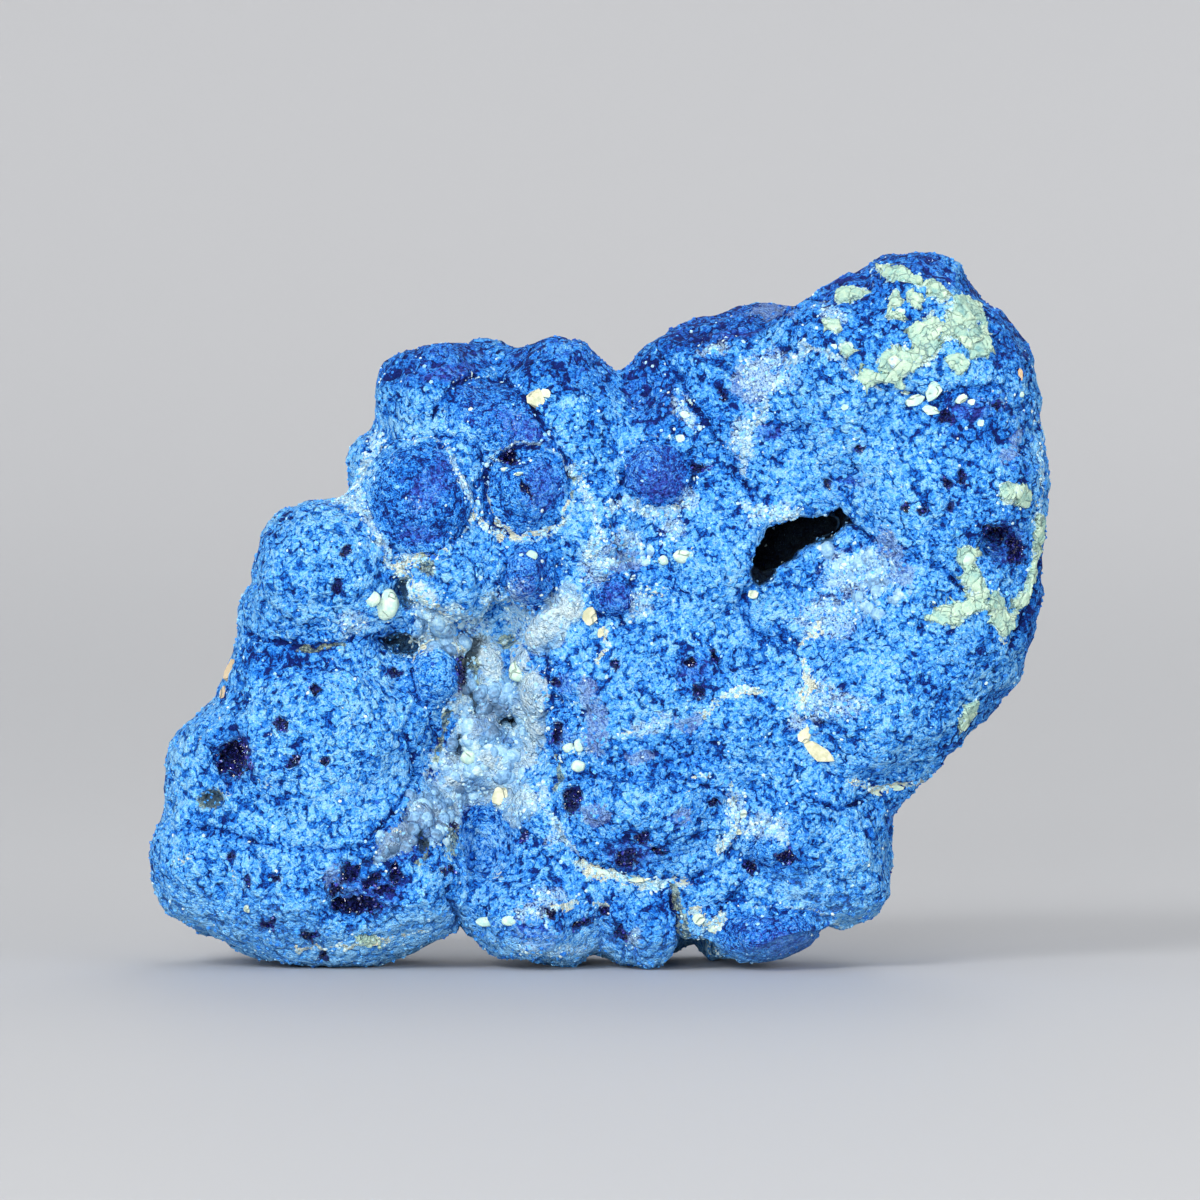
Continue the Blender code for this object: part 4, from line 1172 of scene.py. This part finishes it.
bpy.ops.mesh.primitive_ico_sphere_add(subdivisions=1, radius=1.0)
model = bpy.context.object
spread = step(powder + 0.25 * lumps(places, 1.5 * MM, seed=2.9), 0.42, 0.75)
spread += 2.4 * step(np.maximum(cream, pale_line), 0.35, 0.7)
spread += 0.8 * step(rim * seen, 0.2, 0.5)
spread += 0.35 * step(in_gully, 0.35, 0.5) + 0.5 * step(pale, 0.3, 0.5)
spread *= step(lumps(places, 0.9 * MM, seed=6.6) + 0.4 * lumps(places, 3 * MM, seed=3.7), -0.1, 0.3)
spread *= (1 - step(vug, 0.5, 0.7)) * (1 - in_cave)
middles, ways, near = drawn_on_rock(spread + 0.01, POWDER_COUNT, draw)
radii = draw.uniform(*POWDER_RADII, POWDER_COUNT)
sizes = radii[:, None] * draw.uniform(0.65, 1.35, (POWDER_COUNT, 3))
powder_piece = strewn("powder_grains", model, middles, ways, sizes, draw)
powder_paint, surface = new_material("powder_grain")
place = Wire.node("ShaderNodeTexCoord", output="Object")
fine = grain(place, 0.3 * MM, 2.0, 0.6)
tone = 0.5 + (stored("shade") - 0.5) * 0.9 + (fine - 0.5) * 1.0
feed(surface, "Base Color", Wire.node("ShaderNodeValToRGB", {"stops": POWDER_STOPS}, Fac=tone))
feed(surface, "Roughness", 0.8 + (fine - 0.5) * 0.2)
powder_piece.data.materials.append(powder_paint)
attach(powder_piece, "root")
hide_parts(NODE)

# Grey blue beads of a clear copper silicate, which grew close together in the gully left of the middle
# and under the cave. Each is a small round head, more than half sunk in the rock.
BEAD_COUNT = 480
BEAD_RADII = (0.28 * MM, 1.15 * MM)
BEAD_STOPS = (
    (0.0, paint(78, 108, 138)), (0.25, paint(106, 150, 190)), (0.5, paint(134, 182, 218)),
    (0.8, paint(166, 204, 218)), (1.0, paint(192, 216, 216)),
)
BEAD_SPOTS = {
    "gully_heart": (488, 712, 40, 40, 0), "gully_low": (478, 768, 46, 36, 30),
    "gully_foot": (432, 812, 44, 24, 40), "gully_toe": (392, 838, 26, 18, 30),
    "gully_top": (440, 628, 30, 20, 0), "under_cave": (862, 572, 50, 28, -25),
    "knee": (650, 548, 16, 10, 20),
}

bpy.ops.mesh.primitive_ico_sphere_add(subdivisions=2, radius=1.0)
model = bpy.context.object
beads = step(nearness(bent, BEAD_SPOTS.values()) * seen, 0.45, 0.6)
beads *= (1 - step(np.maximum(vug, hollow), 0.5, 0.7)) * (1 - in_cave)
middles, ways, near = drawn_on_rock(beads, BEAD_COUNT, draw)
radii = BEAD_RADII[0] + (BEAD_RADII[1] - BEAD_RADII[0]) * draw.uniform(0, 1, BEAD_COUNT) ** 2.5
sizes = radii[:, None] * draw.uniform(0.75, 1.25, (BEAD_COUNT, 3))
bead_piece = strewn("grey_blue_beads", model, middles, ways, sizes, draw, sink=0.7)
bead_corners = len(bead_piece.data.vertices) // BEAD_COUNT
write_attribute(bead_piece, "deep", np.repeat(deep_blue_and_shade[near], bead_corners))
bead_paint, surface = new_material("grey_blue_bead")
place = Wire.node("ShaderNodeTexCoord", output="Object")
fine = grain(place, 0.5 * MM, 3.0, 0.6)
cloud = grain(place, 5 * MM, 2.0, 0.5)
tone = 0.55 + (stored("shade") - 0.5) * 0.6 + (fine - 0.5) * 1.5 + (cloud - 0.5) * 1.6
# Darker where the rock under the bead is deep blue, or lies in painted shade in the gully.
tone -= stored("deep") * 0.45
feed(surface, "Base Color", Wire.node("ShaderNodeValToRGB", {"stops": BEAD_STOPS}, Fac=tone))
feed(surface, "Roughness", 0.5 + (fine - 0.5) * 0.5)
feed(surface, "Normal", Wire.node("ShaderNodeBump", Height=fine, Distance=0.25 * MM))
bead_piece.data.materials.append(bead_paint)
only(bead_piece)
bpy.ops.object.shade_smooth()
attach(bead_piece, "root")
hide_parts(NODE)

# Small dark azurite crystals that grew inwards from the walls of the vugs and catch the light; a few of
# them carry painted glints. Each is six-sided and glassy, with a blunt tip, and stands on the wall at its
# own slant.
CRYSTAL_COUNT = 2600
CRYSTAL_WIDE = (0.10 * MM, 0.24 * MM)
# The crystals are dark blue; the palest stop paints glints on the few crystals with the highest shade.
CRYSTAL_AND_GLINT_STOPS = (
    (0.0, paint(6, 5, 24)), (0.6, paint(20, 20, 84)), (0.88, paint(56, 62, 172)),
    (1.0, paint(190, 206, 244)),
)
CRYSTAL_TIP = 0.5
CRYSTAL_TIP_SIZE = (0.35, 0.6, 1.0)

bpy.ops.mesh.primitive_cylinder_add(vertices=6, radius=1.0, depth=2.0)
model = bpy.context.object
select_faces(model, rows(model.data.polygons, "normal")[:, 2] > 0.9)
bpy.ops.mesh.extrude_region_move(TRANSFORM_OT_translate={"value": (0, 0, CRYSTAL_TIP)})
bpy.ops.transform.resize(value=CRYSTAL_TIP_SIZE)
bpy.ops.object.mode_set(mode="OBJECT")
middles, ways, near = drawn_on_rock(step(vug, 0.46, 0.62), CRYSTAL_COUNT, draw)
wide = draw.uniform(*CRYSTAL_WIDE, CRYSTAL_COUNT)
deep_side = wide * draw.uniform(0.4, 1.0, CRYSTAL_COUNT)
tall = wide * draw.uniform(1, 2, CRYSTAL_COUNT)
sizes = np.stack([wide, deep_side, tall], axis=1)
crystal_piece = strewn("vug_crystals", model, middles, ways, sizes, draw, tilt=1.0, sink=0.4)
crystal_paint, surface = new_material("vug_crystal")
place = Wire.node("ShaderNodeTexCoord", output="Object")
tone = stored("shade") * 0.9 + (grain(place, 0.4 * MM) - 0.5) * 0.6
feed(surface, "Base Color", Wire.node("ShaderNodeValToRGB", {"stops": CRYSTAL_AND_GLINT_STOPS}, Fac=tone))
surface.inputs["Roughness"].default_value = 0.12
surface.inputs["Specular IOR Level"].default_value = 0.8
crystal_piece.data.materials.append(crystal_paint)
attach(crystal_piece, "root")
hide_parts(NODE)

# Pale beads and chips of the crust that stand out one by one. A bead is smooth and round, a chip is
# a flat flake with broken edges, and the cream ones are stained by iron. They sit on the rock.
# Each is its middle, half width, half height, for a chip its lean, and how much iron stains it.
PALE_BEADS = {
    "gully_lobe": (389, 600, 13, 15, 0.2), "gully_lobe_left": (376, 594, 7, 8, 0.1),
    "cap_seed": (489, 914, 11, 5, 0.1), "cap_seed_right": (511, 912, 8, 5, 0.1),
    "under_disc": (533, 551, 6, 5, 0.0), "gully_drop": (470, 753, 8, 7, 0.0),
    "gully_pearl": (519, 667, 9, 11, 0.0),
    "button_bead": (682, 552, 9, 7, 0.0), "button_bead_left": (664, 556, 6, 5, 0.0),
    "rosette_bead": (569, 741, 6, 6, 0.2), "rosette_bead_right": (580, 739, 5, 7, 0.2),
    "rosette_bead_low": (579, 760, 7, 6, 0.1),
    "crown_dot": (892, 296, 5, 6, 0.1), "crown_dot_low": (898, 310, 6, 4, 0.1),
    "dot": (252, 901, 4, 4, 0.4), "cheek_bead": (962, 553, 8, 8, 0.0), "temple": (1017, 392, 3, 3, 0.2),
}
PALE_CHIPS = {
    "flake": (929, 388, 8, 11, -20, 0.2), "flake_left": (911, 398, 11, 6, 10, 0.1),
    "flake_low": (927, 407, 9, 5, -15, 0.1), "flake_tail": (902, 391, 6, 4, 30, 0.1),
    "chip": (957, 396, 8, 4, 25, 0.3), "chip_right": (967, 399, 4, 4, 0, 0.2),
    "crust_dot": (976, 420, 4, 4, 0, 0.3), "disc_cream": (538, 397, 9, 10, 20, 0.7),
    "disc_cream_right": (547, 391, 6, 5, 0, 0.5), "knee_cream": (590, 611, 8, 10, 0, 0.9),
    "knee_cream_low": (601, 628, 3, 6, 0, 0.8), "ivory_band": (818, 744, 16, 8, -35, 0.9),
    "ivory_top": (804, 729, 7, 9, -20, 0.9), "keel_cream": (501, 792, 9, 11, -20, 0.8),
    "rust_fleck": (1016, 373, 3, 7, 0, 1.4), "left_crust": (233, 667, 4, 12, -22, 1.35),
    "left_crust_low": (226, 690, 3, 8, -10, 1.35), "hole_lip": (507, 466, 5, 2, 0, 0.3),
    "hole_lip_right": (520, 470, 5, 2, 10, 0.2), "button_top": (685, 412, 6, 4, 0, 0.1),
    "button_high": (690, 400, 5, 4, 30, 0.1), "button_side": (680, 436, 5, 4, 0, 0.1),
    "crown_dot": (831, 345, 4, 3, 0, 0.2), "saddle_dot": (842, 404, 4, 3, 0, 0.4),
    "crown_chip": (828, 324, 8, 4, -25, 0.1), "crown_chip_low": (845, 345, 6, 5, 0, 0.1),
    "heel_cream": (893, 783, 10, 3, 0, 0.5), "heel_cream_left": (872, 787, 8, 3, -20, 0.5),
    "bottom_cream": (371, 935, 10, 3, -5, 0.8), "bead_cream": (698, 912, 7, 6, 20, 0.4),
    "bead_cream_low": (712, 922, 6, 4, 0, 0.4), "lens_cream": (600, 865, 12, 3, -10, 0.4),
    "lens_cream_right": (640, 872, 12, 3, 5, 0.5), "cave_cream": (752, 590, 6, 5, 0, 0.5),
    "band_dot": (742, 808, 4, 5, 0, 0.4), "band_dot_low": (738, 824, 4, 4, 0, 0.5),
}
CHIP_CORNERS = 16
CHIP_THICK = 0.22
CHIP_SUNK = 0.25
BEAD_FLAT = 0.7
BEAD_UNEVEN = 0.16
IN_FRONT = -0.1
GREEN = (paint(164, 202, 194), paint(208, 228, 204))
CREAM = (paint(186, 186, 152), paint(216, 216, 188))
TAN = paint(190, 152, 112)
BEAD_CRACK = paint(96, 120, 116)

draw = np.random.RandomState(23)
bead_mesh = bmesh.new()
cream_layer = bead_mesh.verts.layers.float.new("cream")
for name, (px, py, half_wide, half_high, *turn, creamy) in (PALE_BEADS | {
    name + "_chip": chip for name, chip in PALE_CHIPS.items()
}).items():
    x, z = on_front(px, py)
    found, spot, way, _ = rock.ray_cast(Vector((x, IN_FRONT, z)), Vector((0.0, 1.0, 0.0)))
    if not found:
        continue
    deep_in = min(half_wide, half_high)
    way = (way + Vector((0.0, -1.0, 0.0))).normalized()
    if turn:
        lean = math.radians(turn[0])
        made = []
        for corner in range(CHIP_CORNERS):
            around = 2 * math.pi * (corner + draw.uniform(0, 0.8)) / CHIP_CORNERS * 2
            out = draw.uniform(0.75, 1.1)
            thick = CHIP_THICK * (1 if corner < CHIP_CORNERS / 2 else -3) * draw.uniform(0.7, 1.2)
            made.append(bead_mesh.verts.new((out * math.cos(around), -thick, out * math.sin(around))))
        hull = bmesh.ops.convex_hull(bead_mesh, input=made)
        inside = list(dict.fromkeys(hull["geom_interior"]))
        bmesh.ops.delete(bead_mesh, geom=inside, context="VERTS")
        made = [vertex for vertex in made if vertex.is_valid]
    else:
        lean = 0.0
        made = bmesh.ops.create_icosphere(bead_mesh, subdivisions=3, radius=1.0)["verts"]
        for vertex in made:
            vertex.co *= 1 + BEAD_UNEVEN * noise.noise(vertex.co * 1.3 + Vector((px, 0, 0)))
            for face in vertex.link_faces:
                face.smooth = True
    for vertex in made:
        vertex[cream_layer] = creamy
        across = vertex.co.x * math.cos(lean) * half_wide - vertex.co.z * math.sin(lean) * half_high
        up = vertex.co.x * math.sin(lean) * half_wide + vertex.co.z * math.cos(lean) * half_high
        out = vertex.co.y * deep_in * (1.0 if turn else BEAD_FLAT)
        vertex.co = Vector((across * PIXEL, 0.0, up * PIXEL)) + spot
        vertex.co -= way * (out - (CHIP_SUNK if turn else 0.0) * deep_in) * PIXEL
pale_bead_piece = bpy.data.objects.new("pale_beads", bpy.data.meshes.new("pale_beads"))
bead_mesh.to_mesh(pale_bead_piece.data)
bead_mesh.free()
bpy.context.scene.collection.objects.link(pale_bead_piece)
pale_bead_paint, surface = new_material("pale_bead")
place = Wire.node("ShaderNodeTexCoord", output="Object")
fine = grain(place, 0.6 * MM, 3.0, 0.6)
patch = grain(place, 2.2 * MM, 2.0, 0.5)
cell_edge = Wire.node(
    "ShaderNodeTexVoronoi", {"feature": "DISTANCE_TO_EDGE"}, output="Distance",
    Vector=swirled(place, 1.0 * MM, 0.8 * MM), Scale=1 / (2.4 * MM),
)
hairline = (1 - cell_edge.between(0.01, 0.04)) * patch.between(0.5, 0.56)
light_share = (fine * 0.8 + patch * 0.6).between(0.5, 0.9)
cream_share = (stored("cream") + (patch - 0.5) * 0.5).between(0.25, 0.75)
colour = blend(cream_share, blend(light_share, *GREEN), blend(light_share, *CREAM))
colour = blend(stored("cream").between(1.1, 1.5) * 0.9, colour, TAN)
colour = blend(hairline * 0.6, colour, BEAD_CRACK)
feed(surface, "Base Color", colour)
feed(surface, "Roughness", 0.7 + (fine - 0.5) * 0.4)
surface.inputs["Specular IOR Level"].default_value = 0.3
feed(surface, "Normal", Wire.node("ShaderNodeBump", Height=fine * 0.8 - hairline, Distance=0.15 * MM))
pale_bead_piece.data.materials.append(pale_bead_paint)
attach(pale_bead_piece, "root")
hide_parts(NODE)

new_low, new_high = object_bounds()
sizes = {"cad": [list(cad_low), list(cad_high)], "scene": [list(new_low), list(new_high)]}
